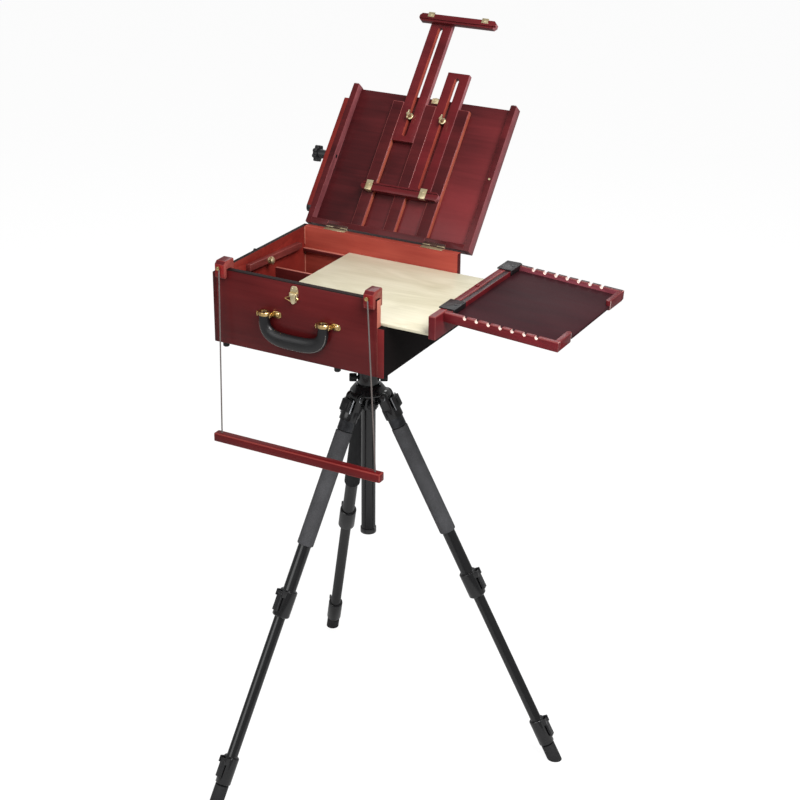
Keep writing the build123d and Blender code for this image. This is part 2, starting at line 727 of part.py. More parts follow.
# ---------------------------------------------------------------- hanging bar
def make_hanging_bar():
    """Two hook blocks over the front panel, screws, cords and the bar they carry."""
    top = front_height + hook_gap + hook_top
    hooks = []
    screws = []
    bar_left = bar_middle_x - bar_length / 2
    bar_right = bar_middle_x + bar_length / 2
    ends = ((left_hook_x, left_screw_shift, bar_left + bar_cord_inset, "left_cord"),
            (right_hook_x, right_screw_shift, bar_right - bar_cord_inset, "right_cord"))
    for x, shift, cord_foot_x, name in ends:
        half = hook_width / 2
        hook = block(x - half, x + half, hook_front, hook_back, front_height + hook_gap - hook_drop, top)
        hook = chamfer(hook.edges().group_by(Axis.Z)[-1], 2.0)
        hook -= block(x - half - 1, x + half + 1, box_front - hook_gap, inner_front + hook_gap,
                      front_height - hook_drop - 2, front_height + hook_gap)
        hooks.append(hook)
        screw_x = x + shift
        screw = rod(screw_x, hook_front - screw_reach / 2, screw_z, screw_radius, screw_reach, "Y")
        head_y = hook_front - screw_reach - screw_head_thick / 2
        screw += rod(screw_x, head_y, screw_z, screw_head_radius, screw_head_thick, "Y")
        screws.append(screw)
        upper = Pos(screw_x, bar_y, cord_pivot_z) * Circle(cord_radius)
        lower = Pos(cord_foot_x, bar_y, bar_top) * Circle(cord_radius)
        cord = loft([upper, lower], ruled=True)
        parts[name] = cord + Pos(screw_x, bar_y, cord_pivot_z) * Sphere(cord_radius)
    parts["bar_hooks"] = group(*hooks)
    parts["bar_screws"] = group(*screws)
    half = bar_side / 2
    bar = block(bar_left, bar_right, bar_y - half, bar_y + half, bar_top - bar_side, bar_top)
    upper_ends = bar.edges().filter_by(Axis.Y).group_by(Axis.Z)[-1]
    parts["hanging_bar"] = chamfer(upper_ends, bar_chamfer)


# ---------------------------------------------------------------- tripod head and column
def make_head():
    """Ball and plate under the box, the cup that holds the ball, and two clamp knobs."""
    plate = column_piece(0, -plate_thick, plate_radius)
    plate += column_piece(-plate_thick, ball_level, ball_stem_radius)
    plate += tripod_axis * Pos(0, 0, ball_level) * Sphere(ball_radius)
    parts["ball_and_plate"] = plate
    rim = ball_level + ball_radius / 3
    cup = column_piece(rim, head_foot, head_radius)
    cup -= tripod_axis * Pos(0, 0, ball_level) * Sphere(ball_radius + ball_gap)
    cup = chamfer(cup.edges().filter_by(GeomType.CIRCLE).group_by(Axis.Z)[0], 1.5)
    place = tripod_axis * Pos(0, 0, head_knob_level) * Rot(0, 0, head_knob_angle)
    stem_end = head_radius - 8
    knob_start = head_radius + 2
    for name, side in (("tilt_knob", 1), ("pan_knob", -1)):
        cup -= place * rod(side * head_radius, 0, 0, knob_stem_radius + running_fit, 20, "X")
        knob = rod(side * (knob_start + head_knob_length / 2), 0, 0, head_knob_radius, head_knob_length, "X")
        knob = chamfer(knob.edges().group_by(Axis.X)[-1 if side > 0 else 0], 1.5)
        knob += rod(side * (stem_end + knob_start) / 2, 0, 0, knob_stem_radius, knob_start - stem_end, "X")
        parts[name] = place * knob
    parts["head_body"] = cup


def make_column():
    """The centre column with its top flange and foot cap."""
    top = head_foot - running_fit
    column = column_piece(top - flange_thick, column_bottom, column_radius)
    column += column_piece(top, top - flange_thick, head_radius - 1)
    column += column_piece(column_bottom + column_cap_height, column_bottom, column_radius + 2)
    parts["column"] = column


def make_crown():
    """The crown: a hub round the column, a lower sleeve and three lugs for the legs."""
    crown = column_piece(crown_top, crown_top - hub_height, crown_radius)
    crown += column_piece(crown_top, crown_bottom, column_radius + sleeve_wall)
    for angle in leg_angles:
        place = tripod_axis * Pos(0, 0, leg_pivot_level) * Rot(0, 0, angle)
        half = shoulder_width / 2
        lug_top = crown_top - leg_pivot_level
        lug = block(column_radius + 2, leg_pivot_radius, -half, half, -shoulder_radius, lug_top)
        lug += rod(leg_pivot_radius, 0, 0, shoulder_radius, shoulder_width, "Y")
        lug -= rod(leg_pivot_radius, 0, 0, leg_pin_radius + running_fit / 2, shoulder_width + 2, "Y")
        crown += place * lug
    crown -= column_piece(crown_top + 1, crown_bottom - 1, column_radius + running_fit)
    knob_angle = (leg_angles[0] + leg_angles[1]) / 2
    knob_place = tripod_axis * Pos(0, 0, crown_bottom + column_knob_radius + 4) * Rot(0, 0, knob_angle)
    hole_middle = (column_radius + crown_radius) / 2
    hole_length = crown_radius - column_radius + 2
    crown -= knob_place * rod(hole_middle, 0, 0, knob_stem_radius + running_fit, hole_length, "X")
    parts["crown"] = crown
    knob_start = crown_radius + 2
    stem_end = column_radius + 2
    stem = rod((stem_end + knob_start) / 2, 0, 0, knob_stem_radius, knob_start - stem_end, "X")
    knob_x = knob_start + column_knob_length / 2
    knob = rod(knob_x, 0, 0, column_knob_radius, column_knob_length, "X")
    for k in range(8):
        a = 2 * math.pi * k / 8
        groove_y = (column_knob_radius + 1) * math.cos(a)
        groove_z = (column_knob_radius + 1) * math.sin(a)
        knob -= rod(knob_x, groove_y, groove_z, 2.5, column_knob_length + 2, "X")
    parts["column_knob"] = knob_place * (stem + knob)


# ---------------------------------------------------------------- legs
def make_lever(radius, collar):
    """A flip lever lying along the outer side of a collar, in the leg's frame."""
    pin_z = -(collar[0] + lever_pin_drop)
    pin_x = radius + 1 + lever_thick / 2
    half = lever_width / 2
    lever = block(radius + 1, radius + 1 + lever_thick, -half, half, pin_z - lever_length, pin_z)
    lever += rod(pin_x, 0, pin_z, lever_thick / 2 + 0.7, lever_width, "Y")
    lever -= rod(pin_x, 0, pin_z, lever_pin_radius + running_fit, lever_width + 2, "Y")
    return lever


def make_collar(radius, bore, collar):
    """A collar with two ears and a pin for its lever."""
    body = chamfer(leg_piece(collar[0], collar[1], radius).edges().filter_by(GeomType.CIRCLE), 2.0)
    pin_z = -(collar[0] + lever_pin_drop)
    pin_x = radius + 1 + lever_thick / 2
    for side in (-1, 1):
        y = side * (lever_width / 2 + side_arm_gap + lever_ear / 2)
        body += block(radius - 6, radius + lever_thick + 2, y - lever_ear / 2, y + lever_ear / 2,
                      pin_z - 8, pin_z + 6)
    body += rod(pin_x, 0, pin_z, lever_pin_radius, lever_width + 2 * lever_ear, "Y")
    body -= leg_piece(collar[0] - 1, collar[1] + 1, bore)
    return body


def make_legs():
    """Three alike legs: upper tube, middle tube, foot section, foam grip and levers."""
    for name, place in zip(leg_names, leg_place):
        bore = middle_tube_radius + running_fit
        low_bore = foot_tube_radius + running_fit
        casting_start = casting_end - casting_height
        tube = leg_piece(casting_start, upper_collar[0], upper_tube_radius)
        tube += leg_piece(casting_start, casting_end, casting_radius)
        tube += leg_piece(casting_end - 1, foam_start - foam_gap, neck_radius)
        fork_in = shoulder_width / 2 + side_arm_gap
        for side in (-1, 1):
            y = side * (fork_in + cheek_thick / 2)
            cheek = block(-shoulder_radius, shoulder_radius, y - cheek_thick / 2, y + cheek_thick / 2,
                          casting_height / 2 - casting_end, 0)
            cheek += rod(0, y, 0, shoulder_radius, cheek_thick, "Y")
            tube += cheek
        pin_length = 2 * (fork_in + cheek_thick)
        tube += rod(0, 0, 0, leg_pin_radius, pin_length, "Y")
        pin_heads = rod(0, 0, 0, leg_pin_radius + 2, pin_length + 5, "Y")
        tube += pin_heads - rod(0, 0, 0, shoulder_radius, pin_length, "Y")
        tube -= leg_piece(casting_end + 5, upper_collar[1], bore)
        tube += make_collar(upper_collar_radius, bore, upper_collar)
        parts[f"{name}_upper_leg"] = place * tube
        grip = leg_piece(foam_start, foam_end, foam_radius)
        grip = fillet(grip.edges().filter_by(GeomType.CIRCLE), 2.5)
        grip -= leg_piece(foam_start - 1, foam_end + 1, upper_tube_radius)
        parts[f"{name}_foam_grip"] = place * grip
        parts[f"{name}_upper_lever"] = place * make_lever(upper_collar_radius, upper_collar)
        middle_start = upper_collar[0] - tube_overlap
        middle = leg_piece(middle_start, lower_collar[0] + 4, middle_tube_radius)
        middle -= leg_piece(middle_start - 1, lower_collar[0] + 5, low_bore)
        middle += make_collar(lower_collar_radius, low_bore, lower_collar)
        parts[f"{name}_middle_leg"] = place * middle
        parts[f"{name}_lower_lever"] = place * make_lever(lower_collar_radius, lower_collar)
        rubber_top = lower_collar[1] + rubber_foot_gap
        foot = leg_piece(rubber_top - foot_tube_length, rubber_top + 1, foot_tube_radius)
        foot += leg_piece(rubber_top, rubber_top + 2 * rubber_foot_length, rubber_foot_radius)
        below = block(-2000, 2000, -2000, 2000, floor_level - 500, floor_level)
        parts[f"{name}_foot_section"] = place * foot - below


# ---------------------------------------------------------------- build, set on the floor, write
make_walls()
make_inside()
make_feet()
make_box_brass()
make_latch()
make_handle()
make_stay()
make_lid()
make_lid_brass()
make_masts()
make_mast_knobs()
make_side_arm()
make_board()
make_tray()
make_hanging_bar()
make_head()
make_column()
make_crown()
make_legs()

loose_cords = ("left_cord", "right_cord")
spans = [shape.bounding_box() for name, shape in parts.items() if name not in loose_cords]
middle_x = (min(s.min.X for s in spans) + max(s.max.X for s in spans)) / 2
middle_y = (min(s.min.Y for s in spans) + max(s.max.Y for s in spans)) / 2
lowest = min(s.min.Z for s in spans)
to_floor = Vector(-middle_x, -middle_y, -lowest)

for name, shape in parts.items():
    parts[name] = Pos(to_floor.X, to_floor.Y, to_floor.Z) * shape
    export_step(parts[name], f"parts/{name}.step")
print(len(parts), "nodes; moved to the floor by", tuple(round(v, 4) for v in to_floor))
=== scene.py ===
# %% [markdown]
# # A painter's box on a tripod
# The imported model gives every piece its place. This lesson dresses it: each wooden part gets eased,
# lacquered edges, the small metal and leather parts are modelled anew, and the finishes are built
# from nodes. Everything is in metres and stays where the frame says.

# %% Load the frame
import bmesh
import bpy
import json
import math
from mathutils import Matrix, Vector


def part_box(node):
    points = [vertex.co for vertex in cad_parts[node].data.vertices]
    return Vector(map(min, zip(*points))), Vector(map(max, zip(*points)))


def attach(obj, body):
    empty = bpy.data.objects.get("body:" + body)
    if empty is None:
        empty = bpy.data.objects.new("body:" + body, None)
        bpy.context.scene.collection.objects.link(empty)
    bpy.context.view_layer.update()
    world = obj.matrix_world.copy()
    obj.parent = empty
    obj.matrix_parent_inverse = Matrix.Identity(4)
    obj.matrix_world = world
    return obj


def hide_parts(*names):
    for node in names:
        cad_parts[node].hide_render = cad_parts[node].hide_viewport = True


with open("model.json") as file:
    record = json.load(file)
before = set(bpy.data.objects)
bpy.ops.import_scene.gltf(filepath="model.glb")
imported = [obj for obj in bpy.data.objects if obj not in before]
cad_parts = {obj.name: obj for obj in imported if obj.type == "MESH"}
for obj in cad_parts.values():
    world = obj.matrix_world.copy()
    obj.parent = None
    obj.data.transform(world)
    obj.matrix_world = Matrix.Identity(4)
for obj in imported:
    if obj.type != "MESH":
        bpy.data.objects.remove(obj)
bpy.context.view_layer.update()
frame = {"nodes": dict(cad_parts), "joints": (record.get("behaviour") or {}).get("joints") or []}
joints = {joint["name"]: joint for joint in frame["joints"]}

# %% [markdown]
# ## Frames to work in
# A maker measures from the piece itself: millimetres from the middle of the box's underside, along
# the lid from its hinge, along a leg from its pivot. Each of these is one matrix, read from the
# loaded model, so the new pieces follow if the model changes.

# %% Frames
MM = Matrix.Scale(0.001, 4)


def frame_of(origin, x_axis, y_axis, z_axis):
    """A matrix from millimetres along three axes to the model's metres."""
    turn = Matrix((x_axis, y_axis, z_axis)).transposed().to_4x4()
    return Matrix.Translation(origin) @ turn @ MM


left_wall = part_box("left_wall")
right_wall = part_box("right_wall")
box_middle = Vector(((left_wall[0].x + right_wall[1].x) / 2, (left_wall[0].y + left_wall[1].y) / 2,
                     left_wall[0].z))
X_AXIS, Y_AXIS, Z_AXIS = Vector((1, 0, 0)), Vector((0, 1, 0)), Vector((0, 0, 1))
BOX = frame_of(box_middle, X_AXIS, Y_AXIS, Z_AXIS)
lid_hinge = Vector(joints["lid_hinge"]["pos_m"])
lid_up = Vector(joints["upper_mast_slide"]["axis"])
lid_out = Vector(joints["upper_mast_knob_spin"]["axis"])
LID = frame_of(Vector((box_middle.x, lid_hinge.y, lid_hinge.z)), X_AXIS, lid_up, lid_out)
column_middle = Vector(joints["head_pan"]["pos_m"])
TRIPOD = frame_of(Vector((column_middle.x, column_middle.y, box_middle.z)), X_AXIS, Y_AXIS, Z_AXIS)
LEG_NAMES = ("left", "right", "rear")
LEGS = {}
for leg in LEG_NAMES:
    pivot = Vector(joints[f"{leg}_leg_fold"]["pos_m"])
    sideways = Vector(joints[f"{leg}_leg_fold"]["axis"])
    upwards = -Vector(joints[f"{leg}_foot_slide"]["axis"])
    LEGS[leg] = frame_of(pivot, sideways.cross(upwards), sideways, upwards)
print("box middle", tuple(round(v, 3) for v in box_middle))

# %% [markdown]
# ## Camera
# The photograph looks down at the box from the front right. Its lines were solved for the place of
# the camera, so the camera is set by the azimuth, elevation, roll and distance found there.

# %% Camera
CAMERA_AZIMUTH = math.radians(29.27)
CAMERA_ELEVATION = math.radians(23.9)
CAMERA_ROLL = math.radians(0.25)
CAMERA_DISTANCE = 2801.34
CAMERA_AIM = Vector((490.55, -704.86, 239.76))
LENS = 79.016
SENSOR = 36.0

camera_data = bpy.data.cameras.new("camera")
camera_data.lens = LENS
camera_data.sensor_width = SENSOR
camera_data.shift_x = 0.0232
camera_data.shift_y = -0.0105
camera = bpy.data.objects.new("camera", camera_data)
bpy.context.scene.collection.objects.link(camera)
back = Vector((math.sin(CAMERA_AZIMUTH) * math.cos(CAMERA_ELEVATION),
               -math.cos(CAMERA_AZIMUTH) * math.cos(CAMERA_ELEVATION), math.sin(CAMERA_ELEVATION)))
right = Vector((math.cos(CAMERA_AZIMUTH), math.sin(CAMERA_AZIMUTH), 0))
up = back.cross(right)
rolled_right = right * math.cos(CAMERA_ROLL) + up * math.sin(CAMERA_ROLL)
rolled_up = back.cross(rolled_right)
turn = Matrix((rolled_right, rolled_up, back)).transposed().to_4x4()
camera.matrix_world = Matrix.Translation(BOX @ (CAMERA_AIM + back * CAMERA_DISTANCE)) @ turn
bpy.context.scene.camera = camera
print("camera at", tuple(round(v, 2) for v in camera.matrix_world.translation))

# %% [markdown]
# ## Node trees as sums
# A finish is a sum of patterns, and in the node editor it would be a web of small Math nodes.
# Wrapping each socket in a small class lets the sum be written as plain Python instead, and one
# method adds every other kind of node. Patterns read Object coordinates, so their sizes are features
# a metre and they stay on a piece when it moves.


# %% Shader maths
class Value:
    """A shader socket that can be added, subtracted and multiplied."""

    def __init__(self, finish, socket):
        self.finish = finish
        self.socket = socket

    def maths(self, operation, first, second):
        """One Math node, for numbers or sockets."""
        return self.finish.node("ShaderNodeMath", {"operation": operation}, {0: first, 1: second})

    def __add__(self, other):
        return self.maths("ADD", self, other)

    def __sub__(self, other):
        return self.maths("SUBTRACT", self, other)

    def __rsub__(self, other):
        return self.maths("SUBTRACT", other, self)

    def __mul__(self, other):
        return self.maths("MULTIPLY", self, other)

    __radd__ = __add__
    __rmul__ = __mul__


class Finish:
    """A material, or the world, that is built up from patterns."""

    def __init__(self, owner):
        owner.use_nodes = True
        self.owner = owner
        self.tree = owner.node_tree
        self.surface = self.tree.nodes.get("Principled BSDF")

    def node(self, kind, settings=None, inputs=None, output=0):
        """Adds a node, sets it, feeds its sockets and gives back one output."""
        made = self.tree.nodes.new(kind)
        for key, setting in (settings or {}).items():
            setattr(made, key, setting)
        self.feed(made, inputs or {})
        return Value(self, made.outputs[output])

    def feed(self, node, inputs):
        """Links the values that are sockets, and writes the plain ones."""
        for key, value in inputs.items():
            if isinstance(value, Value):
                self.tree.links.new(value.socket, node.inputs[key])
            else:
                node.inputs[key].default_value = value

    def set(self, **sockets):
        """Sets the surface; a socket's name is written with _ for a space."""
        self.feed(self.surface, {key.replace("_", " "): value for key, value in sockets.items()})
        return self.owner

    def place(self, scale=(1, 1, 1), turn=(0, 0, 0)):
        """The place on the piece, turned and scaled to features a metre."""
        spot = self.node("ShaderNodeTexCoord", output="Object")
        return self.node("ShaderNodeMapping", {}, {"Vector": spot, "Rotation": turn, "Scale": scale})

    def noise(self, features, turn=(0, 0, 0), detail=3.0, rough=0.5, bend=0.0):
        """Noise with so many features a metre, along all axes or along each."""
        scale = features if isinstance(features, tuple) else (features,) * 3
        return self.node("ShaderNodeTexNoise", {},
                         {"Vector": self.place(scale, turn), "Scale": 1.0, "Detail": detail,
                          "Roughness": rough, "Distortion": bend})

    def between(self, value, low, high, start=0.0, end=1.0):
        """Moves a value from one span to another, and holds it there."""
        return self.node("ShaderNodeMapRange", {"clamp": True},
                         {"Value": value, "From Min": low, "From Max": high, "To Min": start,
                          "To Max": end})

    def blend(self, share, first, second):
        """Mixes two colours: a Mix node has its colours at sockets 6 and 7 and its result at 2."""
        return self.node("ShaderNodeMix", {"data_type": "RGBA"}, {0: share, 6: first, 7: second}, 2)

    def bump(self, height, depth):
        """Raises the surface by a height in metres."""
        return self.node("ShaderNodeBump", {}, {"Height": height, "Distance": depth, "Strength": 1.0})


def new_finish(name):
    """A finish on a new material."""
    return Finish(bpy.data.materials.new(name))


def colour(red, green, blue):
    """A colour as a picture shows it, 0 to 255, for the shader."""
    steps = []
    for part in (red, green, blue):
        share = part / 255
        steps.append(share / 12.92 if share <= 0.04045 else ((share + 0.055) / 1.055) ** 2.4)
    return (*steps, 1.0)


# %% [markdown]
# ## Lacquered wood
# Hardwood that is stained red and lacquered shows long soft streaks, fine pores along them, and a
# satin gloss. A photograph of wood would repeat and stretch, so the pattern is noise that is drawn
# out along the grain, and each board turns it to run its own way. The lid leans back, so its grain is
# turned by the same angle. The stain is deeper or paler from board to board, and on the lid's panel
# the tone also fades from one side to the other. Many of these finishes are painted light and shade:
# paler copies for sides and insides that face the light, darker ones for parts in shadow, and pale
# narrow edges as a painted highlight.

# %% Wood finishes
LID_LEAN = math.atan2(lid_up.y, lid_up.z)
GRAIN_ALONG_X = (0, 0, 0)
GRAIN_ALONG_Y = (0, 0, math.radians(90))
GRAIN_UPRIGHT = (0, math.radians(90), 0)
GRAIN_UP_LID = (LID_LEAN, math.radians(90), 0)
STREAK, CLOUD, PORE = (6, 110, 110), (5, 13, 13), (45, 1500, 1500)
CLOUD_SHARE, FADE_SHARE, PORE_SHARE = 0.7, 0.65, 0.25
NOISE_SPAN = (0.34, 0.66)
PORE_DEPTH = 0.4
GRAIN_DEPTH = 0.00008


def stained_wood(name, deep, warm, grain=GRAIN_ALONG_X, gloss=0.3, coat=0.12, shine=0.18, fade=None):
    """Red stain over close grain, under satin lacquer. fade is a direction and the span it covers."""
    finish = new_finish(name)
    streaks = finish.noise(STREAK, grain, detail=4.0, rough=0.55, bend=0.6)
    pores = finish.noise(PORE, grain, detail=2.0)
    clouds = finish.noise(CLOUD, grain, detail=2.0)
    tone = finish.between(streaks * (1 - CLOUD_SHARE) + clouds * CLOUD_SHARE, *NOISE_SPAN)
    if fade:
        way, start, end = fade
        along = finish.node("ShaderNodeVectorMath", {"operation": "DOT_PRODUCT"},
                            {0: finish.place(), 1: way}, "Value")
        tone = tone * (1 - FADE_SHARE) + finish.between(along, start, end) * FADE_SHARE
    stain = finish.blend(tone, deep, warm)
    pore_colour = (*(part * PORE_DEPTH for part in deep[:3]), 1.0)
    shade = finish.blend(finish.between(pores, 0.62, 0.74) * PORE_SHARE, stain, pore_colour)
    height = pores * -0.4 + streaks * 0.3
    return finish.set(Base_Color=shade, Roughness=gloss + 0.14 * streaks, Coat_Weight=coat,
                      Coat_Roughness=0.14, Specular_IOR_Level=shine, Normal=finish.bump(height, GRAIN_DEPTH))


front_wood = stained_wood("front_wood", colour(78, 16, 18), colour(104, 30, 31))
outer_wood = stained_wood("outer_wood", colour(66, 15, 17), colour(92, 26, 28), GRAIN_ALONG_Y)
rear_wood = stained_wood("rear_wood", colour(66, 15, 17), colour(92, 26, 28))
strip_wood = stained_wood("strip_wood", colour(60, 15, 17), colour(84, 24, 26), GRAIN_UPRIGHT)
corner_wood = stained_wood("corner_wood", colour(104, 28, 30), colour(128, 38, 38), GRAIN_UPRIGHT)
# Painted light: the front panel's right end is paler where the light from the right falls on it.
lit_end_wood = stained_wood("lit_end_wood", colour(184, 104, 88), colour(214, 140, 120), GRAIN_ALONG_Y)
# Painted light: the walls' inner faces get a brighter red for the light that falls in.
lit_inside_wood = stained_wood("lit_inside_wood", colour(110, 31, 27), colour(142, 48, 40), GRAIN_ALONG_Y)
# Painted shade: the runners and dividers get a darker red for the shadow low in the box.
shaded_divider_wood = stained_wood("shaded_divider_wood", colour(70, 22, 22), colour(96, 34, 32))
# Painted light: the back wall's inner face and top get a paler red for the light on them.
lit_back_wood = stained_wood("lit_back_wood", colour(142, 54, 44), colour(180, 80, 66))
# Painted shadow: the right wall's outside is near black for the shadow of the sliding board.
painted_shadow_wood = stained_wood("painted_shadow_wood", colour(15, 11, 11), colour(22, 16, 16), GRAIN_ALONG_Y,
                          gloss=0.55, coat=0.0, shine=0.06)
edge_black = stained_wood("edge_black", colour(20, 10, 10), colour(32, 16, 16),
                          gloss=0.5, coat=0.0, shine=0.12)
floor_wood = stained_wood("floor_wood", colour(46, 14, 16), colour(66, 20, 22))
FADE_TILT = 1.2
fade_middle = FADE_TILT * box_middle.x - box_middle.z
LID_FADE = ((FADE_TILT, 0, -1), fade_middle - 0.34, fade_middle + 0.03)
rail_wood = stained_wood("rail_wood", colour(58, 15, 18), colour(92, 27, 30))
lid_wood = stained_wood("lid_wood", colour(50, 14, 17), colour(122, 42, 45), fade=LID_FADE)
# Painted highlight on the eased edges of the bar and the hooks.
bar_edge_highlight = stained_wood("bar_edge_highlight", colour(126, 46, 43), colour(150, 64, 58))
# Painted highlight on the runners' tops and the corner bead.
highlight_top = stained_wood("highlight_top", colour(170, 98, 84), colour(198, 124, 106))
# Painted light: the masts' slot walls that face right are a brighter red.
lit_slot_wood = stained_wood("lit_slot_wood", colour(158, 62, 50), colour(184, 86, 70), GRAIN_UP_LID)
rim_shade = stained_wood("rim_shade", colour(34, 12, 15), colour(52, 20, 24))
rim_lit = stained_wood("rim_lit", colour(112, 48, 58), colour(134, 64, 74))
guide_wood = stained_wood("guide_wood", colour(56, 15, 18), colour(86, 26, 28), GRAIN_UP_LID)
mast_wood = stained_wood("mast_wood", colour(80, 20, 24), colour(104, 28, 32), GRAIN_UP_LID)
lit_wood = stained_wood("lit_wood", colour(172, 84, 64), colour(198, 108, 86), GRAIN_UP_LID)
# Painted light: the masts' outer right sides are pale.
lit_pale_side = stained_wood("lit_pale_side", colour(150, 88, 92), colour(182, 116, 120), GRAIN_UP_LID)
# Painted light: the lid rails' right sides are paler.
lit_rail_side = stained_wood("lit_rail_side", colour(122, 62, 66), colour(148, 84, 88), GRAIN_UP_LID)
# Painted highlight on the eased edges of rails, guides, masts, end plate and tray rims.
rail_edge_highlight = stained_wood("rail_edge_highlight", colour(116, 52, 52), colour(146, 74, 72))
arm_wood = stained_wood("arm_wood", colour(96, 24, 22), colour(120, 36, 30), GRAIN_UP_LID)
bar_wood = stained_wood("bar_wood", colour(88, 15, 18), colour(110, 24, 26))
hook_wood = stained_wood("hook_wood", colour(124, 28, 30), colour(146, 38, 38), GRAIN_UPRIGHT)
# Painted light: the hooks' sides are paler.
lit_hook_side = stained_wood("lit_hook_side", colour(130, 54, 50), colour(160, 78, 72), GRAIN_UPRIGHT)
hook_top = stained_wood("hook_top", colour(84, 22, 26), colour(106, 32, 36))
tray_wood = stained_wood("tray_wood", colour(88, 22, 27), colour(114, 32, 38))
tray_floor_wood = stained_wood("tray_floor_wood", colour(46, 20, 25), colour(60, 28, 33),
                               gloss=0.5, coat=0.0, shine=0.08)
# Painted highlight in the brush notches.
notch_highlight_wood = stained_wood("notch_highlight_wood", colour(222, 196, 186), colour(240, 218, 208))
stay_wood = stained_wood("stay_wood", colour(96, 38, 36), colour(128, 58, 54), GRAIN_ALONG_Y)
# Painted highlight on the eased edges of the stay bar and the dividers.
edge_highlight_wood = stained_wood("edge_highlight_wood", colour(142, 78, 74), colour(168, 98, 92))
print("wood finishes made")

# %% [markdown]
# ## Board, metal, leather, foam and rubber
# The sliding board is bare pale wood with a faint figure. The brass is polished but handled, so its
# gloss is uneven. Leather has a pebbled grain, and foam is speckled and rough. Each is a function, so
# that its tones can be given again for a painted highlight on an edge or painted shade on a part.


# %% Other finishes
def pale_wood(name):
    """Sealed pale wood with a broad, faint figure."""
    finish = new_finish(name)
    figure = finish.noise((5, 16, 16), bend=1.2)
    lines = finish.noise((10, 240, 240))
    tone = finish.between(figure * 0.75 + lines * 0.25, 0.36, 0.62)
    shade = finish.blend(tone, colour(198, 191, 162), colour(220, 214, 189))
    return finish.set(Base_Color=shade, Roughness=0.42 + 0.1 * lines, Coat_Weight=0.1,
                      Coat_Roughness=0.3, Normal=finish.bump(lines, 0.00005))


def metal(name, tone, dark, gloss=0.2, metallic=1.0, grain=900):
    """Polished metal that is dulled unevenly by handling."""
    finish = new_finish(name)
    haze = finish.noise(60, rough=0.6)
    fine = finish.noise(grain, detail=2.0)
    shade = finish.blend(finish.between(haze, 0.35, 0.7), tone, dark)
    return finish.set(Base_Color=shade, Metallic=metallic, Roughness=gloss + 0.16 * haze,
                      Normal=finish.bump(fine, 0.00001))


def moulded(name, tone, light, gloss=0.4, grain=700, depth=0.00004, coat=0.0):
    """Moulded or coated material with a fine even texture."""
    finish = new_finish(name)
    haze = finish.noise(35, rough=0.6)
    fine = finish.noise(grain, detail=2.0)
    shade = finish.blend(haze * 0.6 + fine * 0.4, tone, light)
    return finish.set(Base_Color=shade, Roughness=gloss + 0.12 * haze, Coat_Weight=coat,
                      Normal=finish.bump(fine, depth))


def leather(name):
    """Pebbled black leather, rubbed to a dull shine."""
    finish = new_finish(name)
    pebble = finish.node("ShaderNodeTexVoronoi", {"feature": "F1"},
                         {"Vector": finish.place((620, 620, 620)), "Scale": 1.0, "Randomness": 1.0})
    rub = finish.noise(40)
    shade = finish.blend(rub, colour(7, 7, 9), colour(18, 18, 21))
    return finish.set(Base_Color=shade, Roughness=0.34 + 0.16 * rub, Specular_IOR_Level=0.42,
                      Coat_Weight=0.3, Coat_Roughness=0.3, Normal=finish.bump(pebble * -1.0, 0.00018))


def foam(name, deep, light):
    """Dense foam rubber with open pores."""
    finish = new_finish(name)
    cells = finish.noise(900, rough=0.7)
    clouds = finish.noise(25, detail=2.0)
    tone = finish.between(cells * 0.8 + clouds * 0.2, *NOISE_SPAN)
    shade = finish.blend(tone, deep, light)
    return finish.set(Base_Color=shade, Roughness=0.86 + 0.1 * cells, Normal=finish.bump(cells, 0.0003))


board_finish = pale_wood("board_finish")
brass = metal("brass", colour(226, 196, 138), colour(186, 150, 92), 0.18)
pale_brass = metal("pale_brass", colour(236, 222, 184), colour(200, 180, 134), 0.24, 0.8)
steel = metal("steel", colour(205, 207, 210), colour(140, 143, 148), 0.16)
black_metal = moulded("black_metal", colour(9, 9, 10), colour(18, 18, 20), 0.18, 900, 0.00001, 0.3)
black_plastic = moulded("black_plastic", colour(14, 14, 15), colour(28, 28, 30), 0.36, 520, 0.00006)
# Painted highlight on the eased rims of the levers and the tray brackets.
rim_highlight_plastic = moulded("rim_highlight_plastic", colour(62, 62, 64), colour(92, 92, 94), 0.4, 520, 0.00004)
# Painted highlight on the eased rims of the crown and the leg tubes.
rim_highlight_metal = moulded("rim_highlight_metal", colour(46, 47, 50), colour(70, 71, 74), 0.3)
rubber = moulded("rubber", colour(22, 22, 23), colour(36, 36, 38), 0.62, 380, 0.00012)
black_leather = leather("black_leather")
stitch_thread = moulded("stitch_thread", colour(118, 116, 114), colour(160, 156, 150), 0.7)
grey_foam = foam("grey_foam", colour(54, 54, 56), colour(94, 94, 97))
black_foam = foam("black_foam", colour(20, 21, 22), colour(36, 37, 39))
satin_metal = metal("satin_metal", colour(74, 75, 78), colour(48, 49, 52), 0.3, 0.85)
# Painted shade on the flat sides of the hinge leaves.
shaded_brass = metal("shaded_brass", colour(66, 34, 28), colour(44, 22, 20), 0.5, 0.3)
crown_metal = moulded("crown_metal", colour(15, 16, 17), colour(32, 33, 35), 0.16, 420, 0.00003, 0.5)
print("finishes:", len(bpy.data.materials))

# %% [markdown]
# ## Easing the edges
# No real board has a knife edge: a plane and sandpaper take it off, and the rounded edge catches
# the light. A Bevel modifier could do this, but the narrow faces have to be known by name to get their
# own finish. So each flat part is a copy of its solid, merged and cleared of flat seams, whose sharp
# edges are bevelled here, and where the part shows it, the new narrow faces get a paler finish: a
# painted highlight along the edge.

# %% Pieces and easing
SEAM = 0.00002
FLAT = math.radians(0.6)
CREASE = math.radians(32)


